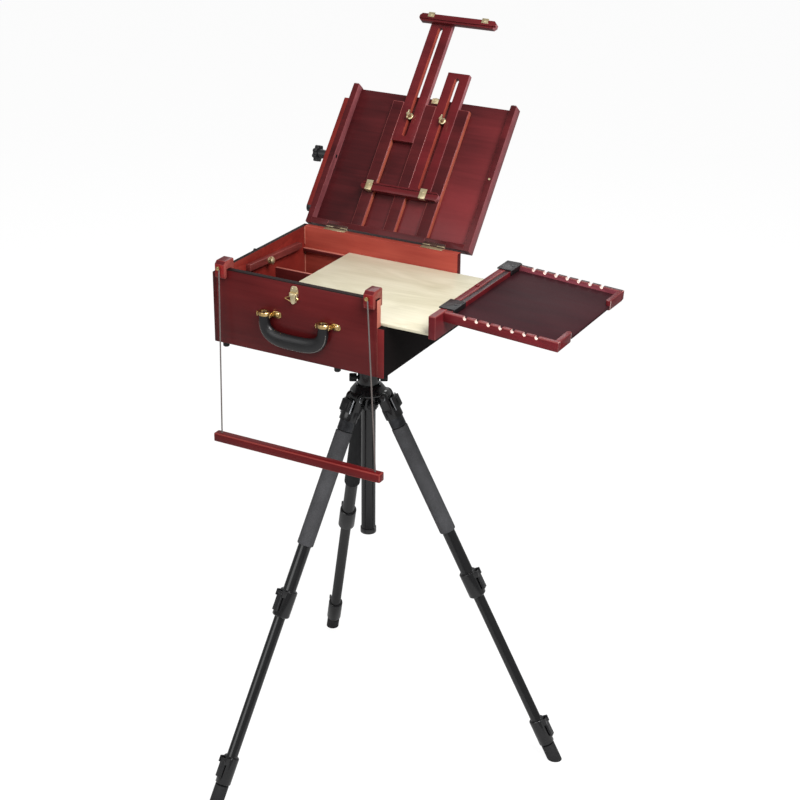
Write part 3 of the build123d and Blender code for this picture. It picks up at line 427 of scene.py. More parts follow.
def new_piece(name, shape, body, finishes, replaces=()):
    """Turns a bmesh into a piece that rides on a body. Edges over the crease angle stay sharp."""
    mesh = bpy.data.meshes.new(name)
    shape.to_mesh(mesh)
    shape.free()
    for finish in finishes:
        mesh.materials.append(finish)
    mesh.set_sharp_from_angle(angle=CREASE)
    piece = bpy.data.objects.new(name, mesh)
    bpy.context.scene.collection.objects.link(piece)
    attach(piece, body)
    if replaces:
        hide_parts(*replaces)
    print(name, len(mesh.polygons), "faces")
    return piece


def soften(shape, edges, width, segments=2):
    """Bevels edges and gives back the new narrow faces."""
    made = bmesh.ops.bevel(shape, geom=list(edges), offset=width, offset_type="OFFSET", segments=segments,
                           profile=0.5, affect="EDGES", clamp_overlap=True, material=-1)
    return made["faces"]


def crisp_edges(shape, angle=CREASE):
    """The edges that turn by more than an angle."""
    return [edge for edge in shape.edges if edge.is_manifold and edge.calc_face_angle(0) > angle]


def eased(node, body, finishes, ease=0.0008, zone=None, pale=None, keep=None):
    """A softened copy of a node. zone gives a face's finish, pale the finish of the narrow faces' painted
    highlight, keep says which points stay.
    """
    shape = bmesh.new()
    shape.from_mesh(frame["nodes"][node].data)
    if keep:
        left_out = [vert for vert in shape.verts if not keep(vert.co)]
        bmesh.ops.delete(shape, geom=left_out, context="VERTS")
    bmesh.ops.remove_doubles(shape, verts=shape.verts, dist=SEAM)
    bmesh.ops.dissolve_limit(shape, angle_limit=FLAT, verts=shape.verts, edges=shape.edges)
    for face in shape.faces:
        face.material_index = zone(face) if zone else 0
    narrow = soften(shape, crisp_edges(shape), ease)
    if pale is not None:
        for face in narrow:
            face.material_index = pale
    return new_piece(f"{node}_eased", shape, body, finishes, (node,))


# %% [markdown]
# ## Small parts from rings and blocks
# Metal and leather parts are drawn in millimetres in the frame of the piece that they belong to. Each
# is made as its maker would make it: a turned part is a profile that is spun round, a padded tube is
# a chain of circles that are bridged, and a flat part is an outline that is extruded and softened.

# %% Modelling helpers
TURN_STEPS = 28
POLE_MERGE = 0.001


def placed(shape, old, place, finish):
    """Moves what a step has added from the origin to its place."""
    fresh = [vert for vert in shape.verts if vert not in old]
    bmesh.ops.transform(shape, matrix=place, verts=fresh)
    faces = list({face for vert in fresh for face in vert.link_faces})
    for face in faces:
        face.material_index = finish
    return faces


def turned(shape, place, profile, finish=0, bored=False):
    """A part turned on a lathe: radii and heights along the frame's own Z. A bored one is a ring."""
    old = set(shape.verts)
    line = profile if bored else [(0, profile[0][1]), *profile, (0, profile[-1][1])]
    points = [shape.verts.new((radius, 0, height)) for radius, height in line]
    edges = [shape.edges.new(pair) for pair in zip(points, points[1:] + points[:bored])]
    bmesh.ops.spin(shape, geom=points + edges, cent=(0, 0, 0), axis=(0, 0, 1), dvec=(0, 0, 0),
                   angle=2 * math.pi, steps=TURN_STEPS, use_merge=True)
    fresh = [vert for vert in shape.verts if vert not in old]
    bmesh.ops.remove_doubles(shape, verts=fresh, dist=POLE_MERGE)
    return placed(shape, old, place, finish)


def swept(shape, place, path, radii, across, finish=0, steps=16):
    """An oval tube along a path. across is the direction of its second radius."""
    old = set(shape.verts)
    rings = []
    for k, (spot, (first, second)) in enumerate(zip(path, radii)):
        ahead = (path[min(k + 1, len(path) - 1)] - path[max(k - 1, 0)]).normalized()
        side = ahead.cross(across).normalized()
        upright = side.cross(ahead).normalized()
        station = Matrix((side * first, upright * second, ahead)).transposed().to_4x4()
        made = bmesh.ops.create_circle(shape, segments=steps, radius=1.0,
                                       matrix=Matrix.Translation(spot) @ station)
        rings.append(list(dict.fromkeys(edge for vert in made["verts"] for edge in vert.link_edges)))
    for low, high in zip(rings, rings[1:]):
        bmesh.ops.bridge_loops(shape, edges=low + high)
    for ring in (rings[0], rings[-1]):
        bmesh.ops.edgeloop_fill(shape, edges=ring)
    return placed(shape, old, place, finish)


def block(shape, place, low, high, ease=0.6, finish=0):
    """A block between two corners, with softened edges."""
    old = set(shape.verts)
    low, high = Vector(low), Vector(high)
    size = Matrix.Diagonal((*(high - low), 1.0))
    bmesh.ops.create_cube(shape, size=1.0, matrix=Matrix.Translation((low + high) / 2) @ size)
    faces = placed(shape, old, place, finish)
    return soften(shape, {edge for face in faces for edge in face.edges}, ease / 1000)


def slab(shape, place, outline, thickness, finish=0):
    """An outline in the frame's X and Z, as thick as asked along Y."""
    old = set(shape.verts)
    sheet = shape.faces.new([shape.verts.new((x, 0, z)) for x, z in outline])
    made = bmesh.ops.extrude_face_region(shape, geom=[sheet])
    far = [item for item in made["geom"] if isinstance(item, bmesh.types.BMVert)]
    bmesh.ops.translate(shape, verts=far, vec=(0, thickness, 0))
    faces = placed(shape, old, place, finish)
    bmesh.ops.recalc_face_normals(shape, faces=faces)
    return faces


def plate(shape, place, outline, thickness, ease=0.3, finish=0):
    """A thin slab with softened rims."""
    faces = slab(shape, place, outline, thickness, finish)
    rims = {edge for face in faces if len(face.verts) == len(outline) for edge in face.edges}
    soften(shape, rims, ease / 1000)


def finished(name, shape, body, finishes, replaces=()):
    """Turns its faces outward and makes the piece."""
    bmesh.ops.recalc_face_normals(shape, faces=shape.faces)
    return new_piece(name, shape, body, finishes, replaces)


def facing(place, spot, direction):
    """A frame at a spot whose Z points along a direction."""
    turn = Vector(direction).to_track_quat("Z", "Y").to_matrix().to_4x4()
    return place @ Matrix.Translation(spot) @ turn


def screw(shape, place, spot, direction, radius, finish=0):
    """A domed screw head with a slot across it."""
    head = facing(place, spot, direction)
    turned(shape, head, [(radius, -0.3), (radius, 0.2), (radius * 0.8, 0.7), (radius * 0.35, 1.0)], finish)
    block(shape, head, (-radius * 0.8, -0.25, 0.75), (radius * 0.8, 0.25, 1.05), 0.05, finish)


def oval(width, height, steps=24, power=1.0, middle=(0, 0)):
    """The points of an oval; a power under 1 makes it squarer."""
    points = []
    for k in range(steps):
        a = 2 * math.pi * k / steps
        x = math.copysign(abs(math.cos(a)) ** power, math.cos(a)) * width / 2
        z = math.copysign(abs(math.sin(a)) ** power, math.sin(a)) * height / 2
        points.append((middle[0] + x, middle[1] + z))
    return points


# %% [markdown]
# ## The box
# The front shows face grain and a dark top edge, and its right end is painted paler for the light
# from the right. The left wall is dark outside, and inside it is painted a brighter red for the light
# that falls in. The right wall's outside is painted near black for the shadow of the sliding board,
# and the back wall's inner face is painted paler for the light on it. One board thus shows several
# tones, so a small function picks the finish of each face by the side that it looks to, which needs
# no seams or pictures.

# %% Box walls
FACING = 0.7


def by_side(*sides):
    """Picks a finish by the side a face looks to: the first direction that fits, else 0."""
    directions = [(Vector(direction), finish) for direction, finish in sides]

    def choose(face):
        return next((finish for way, finish in directions if face.normal.dot(way) > FACING), 0)
    return choose


TO_LEFT, TO_RIGHT = (-1, 0, 0), (1, 0, 0)
TO_FRONT, TO_BACK, UPWARD = (0, -1, 0), (0, 1, 0), (0, 0, 1)
eased("front_panel", "box", [front_wood, floor_wood, edge_black, lit_end_wood], 0.0007,
      by_side((UPWARD, 2), (TO_RIGHT, 3), (TO_BACK, 1)))
eased("left_wall", "box", [outer_wood, lit_inside_wood, edge_black, strip_wood], 0.0007,
      by_side((UPWARD, 2), (TO_RIGHT, 1), (TO_FRONT, 3)))
eased("right_wall", "box", [painted_shadow_wood, lit_inside_wood, corner_wood, edge_highlight_wood], 0.0007,
      by_side((TO_FRONT, 2), (TO_LEFT, 1)))
eased("back_panel", "box", [rear_wood, lit_back_wood], 0.0007, by_side((TO_FRONT, 1), (UPWARD, 1)))
eased("floor_panel", "box", [floor_wood], 0.0005)
# The dividers' darker red is painted shade, and their tops and eased edges carry painted highlights.
eased("runners_and_dividers", "box", [shaded_divider_wood, edge_highlight_wood, highlight_top], 0.0008,
      by_side((UPWARD, 2)), 1)

# %% [markdown]
# A thin pale bead in the inner corner that faces the light is a painted highlight, which stands for
# the light caught along the fillet in that corner. It stops short of the sliding board, above and
# below, so that the board can pass. The stay bar beside it keeps its solid. The box stands on short
# rubber feet when it is off its tripod: each is turned and a little narrower at the ground.
# All four stand further left than the solids, and the front two nearer the front.

# %% Corner bead, stay bar and feet
BEAD, BEAD_SINK = 1.6, 0.2
BEAD_FOOT, BEAD_CLEAR = 12.0, 0.5
RIM_CLEAR = 2.0
inner_left = (left_wall[1].x - box_middle.x) * 1000
inner_back = (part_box("back_panel")[0].y - box_middle.y) * 1000
wall_top = (left_wall[1].z - left_wall[0].z) * 1000
board_low, board_high = [(BOX.inverted() @ corner).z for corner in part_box("palette_board")]
bead = bmesh.new()
for low, high in ((BEAD_FOOT, board_low - BEAD_CLEAR), (board_high + BEAD_CLEAR, wall_top - RIM_CLEAR)):
    block(bead, BOX, (inner_left - BEAD_SINK, inner_back - BEAD, low),
          (inner_left + BEAD, inner_back + BEAD_SINK, high), 0.4)
finished("corner_highlight_bead", bead, "box", [highlight_top])
eased("stay_bar", "stay_bar", [stay_wood, edge_highlight_wood], 0.001, pale=1)

FOOT_RADIUS, FOOT_SHIFT, FOOT_DROP = 7.0, 5.0, 12.0
feet_low, feet_high = [BOX.inverted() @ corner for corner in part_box("box_feet")]
feet = bmesh.new()
for foot_x in (feet_low.x + FOOT_RADIUS - FOOT_SHIFT, feet_high.x - FOOT_RADIUS - FOOT_SHIFT):
    for foot_y in (feet_low.y + FOOT_RADIUS - FOOT_SHIFT, feet_high.y - FOOT_RADIUS):
        spot = BOX @ Matrix.Translation((foot_x, foot_y, -FOOT_DROP))
        turned(feet, spot, [(5.4, 0), (6.8, 1.6), (FOOT_RADIUS, FOOT_DROP + 0.2)])
finished("rubber_feet", feet, "box", [rubber], ("box_feet",))

# %% [markdown]
# ## Lid, masts and side arm
# The lid is a panel in a frame of rails. It carries three guide boards, and the masts slide between
# them in their slots. All of it keeps the solids' shape, so only edges and tones are added: sides that
# look to the light are painted pale as painted light, the walls of the slots are painted a brighter red
# for the light on them, and the eased edges get a painted highlight.

# %% Lid pieces
eased("lid_panel", "lid", [lid_wood], 0.0006)
lit_side = by_side((TO_RIGHT, 2))
OUTER_SIDE = 0.002
MAST_REACH = 75.0


def mast_sides(node):
    """The outer right side is painted pale as painted light, and the slot's walls are painted a brighter red
    for the light on them.
    """
    spots = [vert.co for vert in frame["nodes"][node].data.vertices]
    outer = max(spot.x for spot in spots if abs((LID.inverted() @ spot).x) < MAST_REACH) - OUTER_SIDE

    def choose(face):
        if face.normal.x < FACING:
            return 0
        return 2 if face.calc_center_median().x > outer else 3
    return choose


eased("lid_rails", "lid", [rail_wood, rail_edge_highlight, lit_rail_side], 0.0008, lit_side, 1)
eased("mast_guides", "lid", [guide_wood, rail_edge_highlight, lit_wood], 0.0008, lit_side, 1)
for mast in ("upper_mast", "lower_mast"):
    eased(mast, mast, [mast_wood, rail_edge_highlight, lit_pale_side, lit_slot_wood], 0.0007, mast_sides(mast), 1)
arm_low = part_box("side_arm")[0].z
ARM_TIP = 0.022
eased("side_arm", "side_arm", [arm_wood, black_plastic], 0.0009,
      lambda face: 1 if face.calc_center_median().z < arm_low + ARM_TIP else 0)

# %% [markdown]
# ## Clips, hinge leaves and wing nuts
# Two bent strips of brass on each crossbar hold the canvas. Each has a flat leaf on the bar's face, a
# lip over its edge and a rivet between, so two blocks and a turned head are enough. A wing nut holds
# each mast: a turned barrel on its bolt with two upright ears.

# %% Clips
BAR_REACH = 80.0
CLIP_X, CLIP_HALF, CLIP_THICK, CLIP_WRAP = 66.0, 7.8, 1.2, 9.0
RIVET_LIMIT = 11.0
for node, mast, shift, above, below in (("upper_clips", "upper_mast", 0.0, 3.5, 8.0),
                                        ("lower_clips", "lower_mast", -8.6, 4.0, 19.2)):
    spots = [LID.inverted() @ vert.co for vert in frame["nodes"][mast].data.vertices]
    bar_spots = [spot for spot in spots if abs(spot.x) > BAR_REACH]
    top, low = max(spot.y for spot in bar_spots), min(spot.y for spot in bar_spots)
    front = max(spot.z for spot in bar_spots)
    lip = top if node == "upper_clips" else low - CLIP_THICK
    clips = bmesh.new()
    for x in (shift - CLIP_X, shift + CLIP_X):
        left, right = x - CLIP_HALF, x + CLIP_HALF
        block(clips, LID, (left, top - below, front), (right, top + above, front + CLIP_THICK), 0.3)
        block(clips, LID, (left, lip, front - CLIP_WRAP), (right, lip + CLIP_THICK, front + CLIP_THICK), 0.3)
        rivet = LID @ Matrix.Translation((x, top - min(below, RIVET_LIMIT) / 2 + 1, front + CLIP_THICK))
        turned(clips, rivet, [(2.6, -0.2), (2.4, 0.5), (1.2, 1.0)])
    finished(f"{node}_bent", clips, mast, [pale_brass], (node,))

# %% Lid brass and wing nuts
LEAF_END = 14.0


def leaf_zone(face):
    """The hinge leaves are let into the rail, and their flat sides are painted dark as painted shade."""
    spot = LID.inverted() @ face.calc_center_median()
    return 1 if spot.y < LEAF_END and face.normal.dot(lid_out) > FACING else 0


eased("lid_brasswork", "lid", [pale_brass, shaded_brass], 0.0002, leaf_zone)
NUT_TALL, NUT_RADIUS, BOLT_RADIUS = 17, 7, 2.9
EAR_THICK, EAR_REACH, EAR_DROP = 2.4, 6.2, 5
for node in ("upper_mast_knob", "lower_mast_knob"):
    heights = [(LID.inverted() @ vert.co).z for vert in frame["nodes"][node].data.vertices]
    spot = LID.inverted() @ Vector(joints[f"{node}_spin"]["pos_m"])
    foot, top = min(heights), max(heights)
    seat = top - NUT_TALL
    wing_nut = bmesh.new()
    turned(wing_nut, LID @ Matrix.Translation((spot.x, spot.y, 0)),
           [(BOLT_RADIUS, foot), (BOLT_RADIUS, seat), (NUT_RADIUS, seat), (NUT_RADIUS, seat + 1.6),
            (4.6, seat + 2.6), (4.2, top - 2), (2.8, top)])
    ears = Matrix(((0, 1, 0, spot.x - EAR_THICK / 2), (1, 0, 0, spot.y), (0, 0, 1, top - EAR_DROP),
                   (0, 0, 0, 1)))
    for side in (-1, 1):
        plate(wing_nut, LID @ ears, oval(9, 8, 20, 0.9, (side * EAR_REACH, 0)), EAR_THICK, 0.7)
    finished(f"{node}_wings", wing_nut, node, [pale_brass], (node,))

# %% [markdown]
# ## Board, tray and hanging bar
# The pale board slides out to the right, and its end plate fills the cut-down wall. The tray hangs
# from it on two black brackets. The brush notches get a painted highlight where the lacquer in them
# catches the light, and the tops of the far and left rims get painted shade, so its rims' faces are
# told apart by size and slope. The bar is a new block, since its ends are barely eased.

# %% Board and tray
eased("palette_board", "palette", [board_finish], 0.0006)
eased("end_plate", "palette", [tray_wood, rail_edge_highlight], 0.0009, pale=1)
eased("tray_floor", "tray", [tray_floor_wood], 0.0005)
NOTCH_FACE = 0.00012
RIM_REACH = 0.018
rims_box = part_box("tray_rims")


def rim_zone(face):
    """The notches get a painted highlight, the tops of the far and left rims painted shade, and the far rim's
    inner side painted light.
    """
    if face.calc_area() < NOTCH_FACE and abs(face.normal.y) < 0.3 and face.normal.z > -0.3:
        return 2
    spot = face.calc_center_median()
    at_back, at_left = spot.y > rims_box[1].y - RIM_REACH, spot.x < rims_box[0].x + RIM_REACH
    if (at_back or at_left) and face.normal.z > FACING:
        return 3
    return 4 if at_back and face.normal.y < -FACING else 0


eased("tray_rims", "tray", [tray_wood, rail_edge_highlight, notch_highlight_wood, rim_shade, rim_lit], 0.0006,
      rim_zone, 1)
# The brackets' eased edges carry a painted highlight.
eased("tray_brackets", "tray", [black_plastic, rim_highlight_plastic], 0.0005, pale=1)
BAR_EASE = 2.2
bar = bmesh.new()
bar_low, bar_high = [BOX.inverted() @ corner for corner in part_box("hanging_bar")]
for face in block(bar, BOX, bar_low, bar_high, BAR_EASE):
    face.material_index = 1
finished("bar_of_wood", bar, "hanging_bar", [bar_wood, bar_edge_highlight], ("hanging_bar",))
eased("bar_screws", "bar_hooks", [brass], 0.0003)

# %% [markdown]
# ## Hooks
# Each hook straddles the front panel. Its top slopes to the front, and its front leg narrows to a
# rounded tongue. Seen from the side it is one outline, so that outline is extruded across.

# %% Hooks
hooks_low, hooks_high = [BOX.inverted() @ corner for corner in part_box("bar_hooks")]
front_face = (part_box("front_panel")[0].y - box_middle.y) * 1000
front_top = (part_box("front_panel")[1].z - box_middle.z) * 1000
front_thick = (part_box("front_panel")[1].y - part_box("front_panel")[0].y) * 1000
HOOK_WIDTH = 22.0
HOOK_GAP = 0.3


def hook_outline():
    """Depth and height round the hook, from its back leg over the top to the tongue."""
    back, front, top, low = hooks_high.y, hooks_low.y, hooks_high.z, hooks_low.z
    slot_front, slot_back = front_face - HOOK_GAP, front_face + front_thick + HOOK_GAP
    slot_top = front_top + HOOK_GAP
    tongue = [(front + 0.3, low + 9), (front + 1.2, low + 3), (front + 3.4, low), (slot_front - 3.0, low)]
    return [(back, low), (back, top - 2.5), (back - 2.5, top), (front + 7, top - 0.5), (front, top - 6.5),
            *tongue, (slot_front, low + 2.5), (slot_front, slot_top), (slot_back, slot_top), (slot_back, low)]


def hook_block(shape, left):
    """One hook with its left side at a place: its sides are painted paler as painted light, its top has its
    own tone, and its eased edges get a painted highlight.
    """
    across = Matrix(((0, 1, 0, left), (1, 0, 0, 0), (0, 0, 1, 0), (0, 0, 0, 1)))
    faces = slab(shape, BOX @ across, hook_outline(), HOOK_WIDTH)
    for face in faces:
        face.material_index = 2 if abs(face.normal.x) > FACING else (3 if face.normal.z > 0.3 else 0)
    narrow = soften(shape, {edge for face in faces for edge in face.edges}, 0.0008)
    for face in narrow:
        face.material_index = 1


hooks = bmesh.new()
hook_block(hooks, hooks_low.x)
hook_block(hooks, hooks_high.x - HOOK_WIDTH)
finished("hooks", hooks, "bar_hooks", [hook_wood, bar_edge_highlight, lit_hook_side, hook_top], ("bar_hooks",))

# %% [markdown]
# ## Hinges and the latch
# The hinges and the stay bar's nut keep their solids: the leaves are painted dark as painted shade
# where they lie on the wall, and the nut gets a domed cap. The brass on the front is left out of that
# copy, because it is drawn anew: a rounded latch plate with a barrel, a tongue-shaped lever, and a
# triangle of wire.

# %% Hinges and stay cap
FRONT_BRASS = 20
LEAF_DEPTH = 0.003
NUT_REACH, NUT_MARGIN = 45, 40
CAP_SINK = 3
leaf_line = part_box("back_panel")[0].y - LEAF_DEPTH
eased("box_brasswork", "box", [pale_brass, shaded_brass], 0.0002,
      lambda face: 1 if face.normal.y < -FACING and face.calc_center_median().y > leaf_line else 0,
      keep=lambda spot: (BOX.inverted() @ spot).y > front_face + FRONT_BRASS)
brass_spots = [BOX.inverted() @ vert.co for vert in frame["nodes"]["box_brasswork"].data.vertices]
nut_spots = [spot for spot in brass_spots if spot.x < inner_left + NUT_REACH
             and front_face + NUT_MARGIN < spot.y < inner_back - NUT_MARGIN]
nut_middle = sum(nut_spots, Vector()) / len(nut_spots)
nut_end = max(spot.x for spot in nut_spots)
stay_cap = bmesh.new()
turned(stay_cap, facing(BOX, (nut_end - CAP_SINK, nut_middle.y, nut_middle.z), TO_RIGHT),
       [(6.5, 0), (7, 1), (6.5, 3), (4.5, 4.6), (1.5, 5.2)])
finished("stay_cap", stay_cap, "box", [pale_brass])

# %% Latch
pin = BOX.inverted() @ Vector(joints["latch_lever_swing"]["pos_m"])
loop_pin = BOX.inverted() @ Vector(joints["latch_loop_swing"]["pos_m"])
LATCH_WIDTH = 18.0
half = LATCH_WIDTH / 2
latch_place = BOX @ Matrix.Translation((pin.x, front_face, pin.z))
latch_plate = bmesh.new()
shield = [(-half, -2), (-half, 8), (-half + 2, 14), (-4, 17), (4, 17), (half - 2, 14), (half, 8), (half, -2),
          (5, -12), (3.5, -18), (-3.5, -18), (-5, -12)]
plate(latch_plate, latch_place, shield[::-1], -1.5, 0.4)
for side in (-1, 1):
    block(latch_plate, latch_place, (side * 8 - 1, pin.y - front_face - 2, -4), (side * 8 + 1, -0.5, 4), 0.5)
    screw(latch_plate, latch_place, (side * 4.5, -1.5, 11), TO_FRONT, 1.7)
turned(latch_plate, facing(BOX, (pin.x - half, pin.y, pin.z), TO_RIGHT), [(1.2, 0), (1.2, LATCH_WIDTH)])
finished("latch_plate", latch_plate, "box", [pale_brass])

lever_place = BOX @ Matrix.Translation(pin)
lever = bmesh.new()
tongue = [(-6, -1), (-6, -8), (-5.4, -14), (-3.4, -18), (0, -19.5), (3.4, -18), (5.4, -14), (6, -8), (6, -1)]
plate(lever, lever_place @ Matrix.Translation((0, -3.2, 0)), tongue, 2.6, 0.8)
turned(lever, facing(lever_place, (-6, 0, 0), TO_RIGHT), [(2.6, 0), (3.2, 0.7), (3.2, 11.3), (2.6, 12)])
finished("latch_tongue", lever, "latch_lever", [pale_brass], ("latch_lever",))

wire = bmesh.new()
WIRE_RADIUS = 0.9
triangle = [(-6.5, 5.2), (-12, 3.0), (-18.4, 0.3), (-19.3, -0.6), (-18.2, -1.5), (-12, -3.4), (-6.0, -5.4)]
tab = [(7.3, 4.2), (10.8, 1.6), (11.2, 0.9), (10.6, 0.2), (7.3, -1.6)]
loop_place = BOX @ Matrix.Translation(loop_pin)
for bend in (triangle, tab):
    swept(wire, loop_place, [Vector((x, 0, z)) for x, z in bend], [(WIRE_RADIUS, WIRE_RADIUS)] * len(bend),
          Y_AXIS, steps=10)
finished("latch_wire", wire, "latch_loop", [brass], ("latch_loop",))

# %% [markdown]
# ## Carry handle
# The grip is a padded tube: its middle line is a squarish half oval, and it swells from the legs to
# the belly. A row of stitches closes the leather along the lower outer side.

# %% Handle
handle_pin = BOX.inverted() @ Vector(joints["handle_swing"]["pos_m"])
HANDLE_SPAN, HANDLE_SINK, HANDLE_RISE = 138.0, 49.0, 5.0
LEG_HALF, BELLY_HALF, PAD_HALF, PAD_SWELL = 11.0, 16.0, 9.0, 0.8
SQUARISH = 0.62
HANDLE_STEPS = 60
handle_place = BOX @ Matrix.Translation((0, handle_pin.y, handle_pin.z))


def handle_point(share):
    """A point of the middle line and how deep it hangs, for a share from one leg to the other."""
    a = math.pi * (share - 0.5)
    x = math.copysign(abs(math.sin(a)) ** SQUARISH, a) * HANDLE_SPAN / 2
    depth = abs(math.cos(a)) ** SQUARISH
    return Vector((x, 0, -HANDLE_SINK * depth)), depth


samples = [handle_point(k / HANDLE_STEPS) for k in range(HANDLE_STEPS + 1)]
tops = [Vector((side * HANDLE_SPAN / 2, 0, HANDLE_RISE)) for side in (-1, 1)]
path = [tops[0], *(spot for spot, depth in samples), tops[1]]
depths = [0.0, *(depth for spot, depth in samples), 0.0]
radii = [(LEG_HALF + (BELLY_HALF - LEG_HALF) * depth ** 2, PAD_HALF + PAD_SWELL * depth) for depth in depths]
grip = bmesh.new()
swept(grip, handle_place, path, radii, Y_AXIS, steps=28)
soften(grip, crisp_edges(grip, math.radians(60)), 0.002, 3)
finished("handle_grip", grip, "handle", [black_leather], ("carry_handle",))

STITCH_ANGLE = math.radians(54)
STITCH_HALF, STITCH_LIFT, UNSTITCHED = 0.95, 1.015, 4
STITCH_RADII = [(0.4, 0.4), (0.75, 0.75), (0.4, 0.4)]
stitches = bmesh.new()
for k in range(UNSTITCHED, len(path) - UNSTITCHED):
    ahead = (path[k + 1] - path[k - 1]).normalized()
    side = ahead.cross(Y_AXIS).normalized()
    if side.z > 0:
        side = -side
    low = side * radii[k][0] * math.sin(STITCH_ANGLE) - Y_AXIS * radii[k][1] * math.cos(STITCH_ANGLE)
    spot = path[k] + low * STITCH_LIFT
    swept(stitches, handle_place, [spot - ahead * STITCH_HALF, spot, spot + ahead * STITCH_HALF],
          STITCH_RADII, Y_AXIS, steps=6)
finished("handle_stitches", stitches, "handle", [stitch_thread])

# %% [markdown]
# A brass ferrule closes each leg of the handle. Beside it a bracket holds the leg's pin between two
# ears, and its flat flange with a domed stud lies to the right of the leg. The knobs of the side arm
# and the stay bar are moulded plastic, so they only get softer edges.

# %% Handle brass
FERRULE_OVAL = Matrix.Diagonal((1.12, 0.95, 1, 1))
ferrules = bmesh.new()
for side in (-1, 1):
    middle = handle_place @ Matrix.Translation((side * HANDLE_SPAN / 2, 0, 0)) @ FERRULE_OVAL
    turned(ferrules, middle, [(LEG_HALF + 0.2, -1), (LEG_HALF + 0.7, 0), (LEG_HALF + 0.7, 5.2),
                              (LEG_HALF - 0.4, 6.6), (LEG_HALF - 3.4, 6.6), (LEG_HALF - 4, 3.4)])
finished("handle_ferrules", ferrules, "handle", [brass])

brackets = bmesh.new()
EAR_OUT, EAR_HALF = 14.5, 1.3
FLANGE_OUT, DOME_OUT = EAR_OUT + 8.5, EAR_OUT + 10
pin_end = 2 * EAR_OUT + 3.6
bracket_place = BOX @ Matrix.Translation((0, front_face, handle_pin.z))
reach = handle_pin.y - front_face
for side in (-1, 1):
    middle = bracket_place @ Matrix.Translation((side * HANDLE_SPAN / 2, 0, 0))
    plate(brackets, middle, oval(22, 14, 24, 0.7, (FLANGE_OUT, 0)), -1.4, 0.5)
    for ear in (-EAR_OUT, EAR_OUT):
        block(brackets, middle, (ear - EAR_HALF, reach - 4, -4.5), (ear + EAR_HALF, -0.5, 5.5), 0.8)
    dome = facing(middle, (DOME_OUT, -1.2, 0), TO_FRONT)
    turned(brackets, dome, [(6, 0), (5.4, 1.6), (3.6, 3.0), (1.2, 3.6)])
    turned(brackets, facing(middle, (-EAR_OUT - 2.4, reach, 0), TO_RIGHT),
           [(2.9, 0), (2.9, 0.9), (1.9, 1.1), (1.9, pin_end), (2.9, pin_end + 0.2), (2.9, pin_end + 1.2)])
finished("handle_brackets", brackets, "box", [brass])
eased("side_arm_knob", "side_arm_knob", [black_plastic], 0.0014)
eased("stay_knob", "stay_knob", [black_plastic], 0.0014)

# %% [markdown]
# ## Cords
# Each cord is pulled straight by the weight of the bar, from its screw to the bar's top. It is a
# smooth spline with a point near each end, because the stretch between them is straight. Its braid
# is two crossing rows of waves.

# %% Cords
CORD_DIAMETER = 3.0
NEAR_END = 6 * CORD_DIAMETER


def braided_cord(name):
    """Grey braid: two crossing rows of yarn."""
    finish = new_finish(name)
    rows = [finish.node("ShaderNodeTexWave", {"bands_direction": "DIAGONAL"},
                        {"Vector": finish.place((side * 420, 420, 420)), "Scale": 1.0, "Distortion": 0.4})
            for side in (1, -1)]
    yarn = rows[0] * 0.5 + rows[1] * 0.5
    shade = finish.blend(yarn, colour(84, 76, 74), colour(128, 118, 114))
    return finish.set(Base_Color=shade, Roughness=0.8 + 0.1 * yarn, Normal=finish.bump(yarn, 0.0002))


grey_cord = braided_cord("grey_cord")


def hanging_cord(name):
    """A cord along its solid, from the screw down to the bar."""
    low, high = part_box(name)
    leans_right = name == "right_cord"
    radius = CORD_DIAMETER / 2000
    middle_y = (low.y + high.y) / 2
    top = Vector((low.x + radius if leans_right else high.x - radius, middle_y, high.z - radius))
    foot = Vector((high.x - radius if leans_right else low.x + radius, middle_y, low.z))
    along = (foot - top).normalized() * NEAR_END / 1000
    curve = bpy.data.curves.new(f"{name}_braid", "CURVE")
    curve.dimensions = "3D"
    curve.bevel_depth = radius
    curve.bevel_resolution = 4
    curve.use_fill_caps = True
    spline = curve.splines.new("NURBS")
    points = (top, top + along, foot - along, foot)
    spline.points.add(len(points) - 1)
    for point, spot in zip(spline.points, points):
        point.co = (*spot, 1.0)
    spline.order_u = 3
    spline.use_endpoint_u = True
    curve.materials.append(grey_cord)
    cord = bpy.data.objects.new(f"{name}_braid", curve)
    bpy.context.scene.collection.objects.link(cord)
    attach(cord, "hanging_bar")
    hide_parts(name)


hanging_cord("left_cord")
hanging_cord("right_cord")

# %% [markdown]
# ## Tripod
# The tripod is lacquered and moulded black, so it shows by its gloss and the highlights on its rims.
# Its solids are good enough to keep. Their edges are eased, the eased rims of the castings, tubes and
# levers are painted grey as a painted highlight, each leg has a satin neck between its casting and its
# grip, and the rear grip is the dark one.

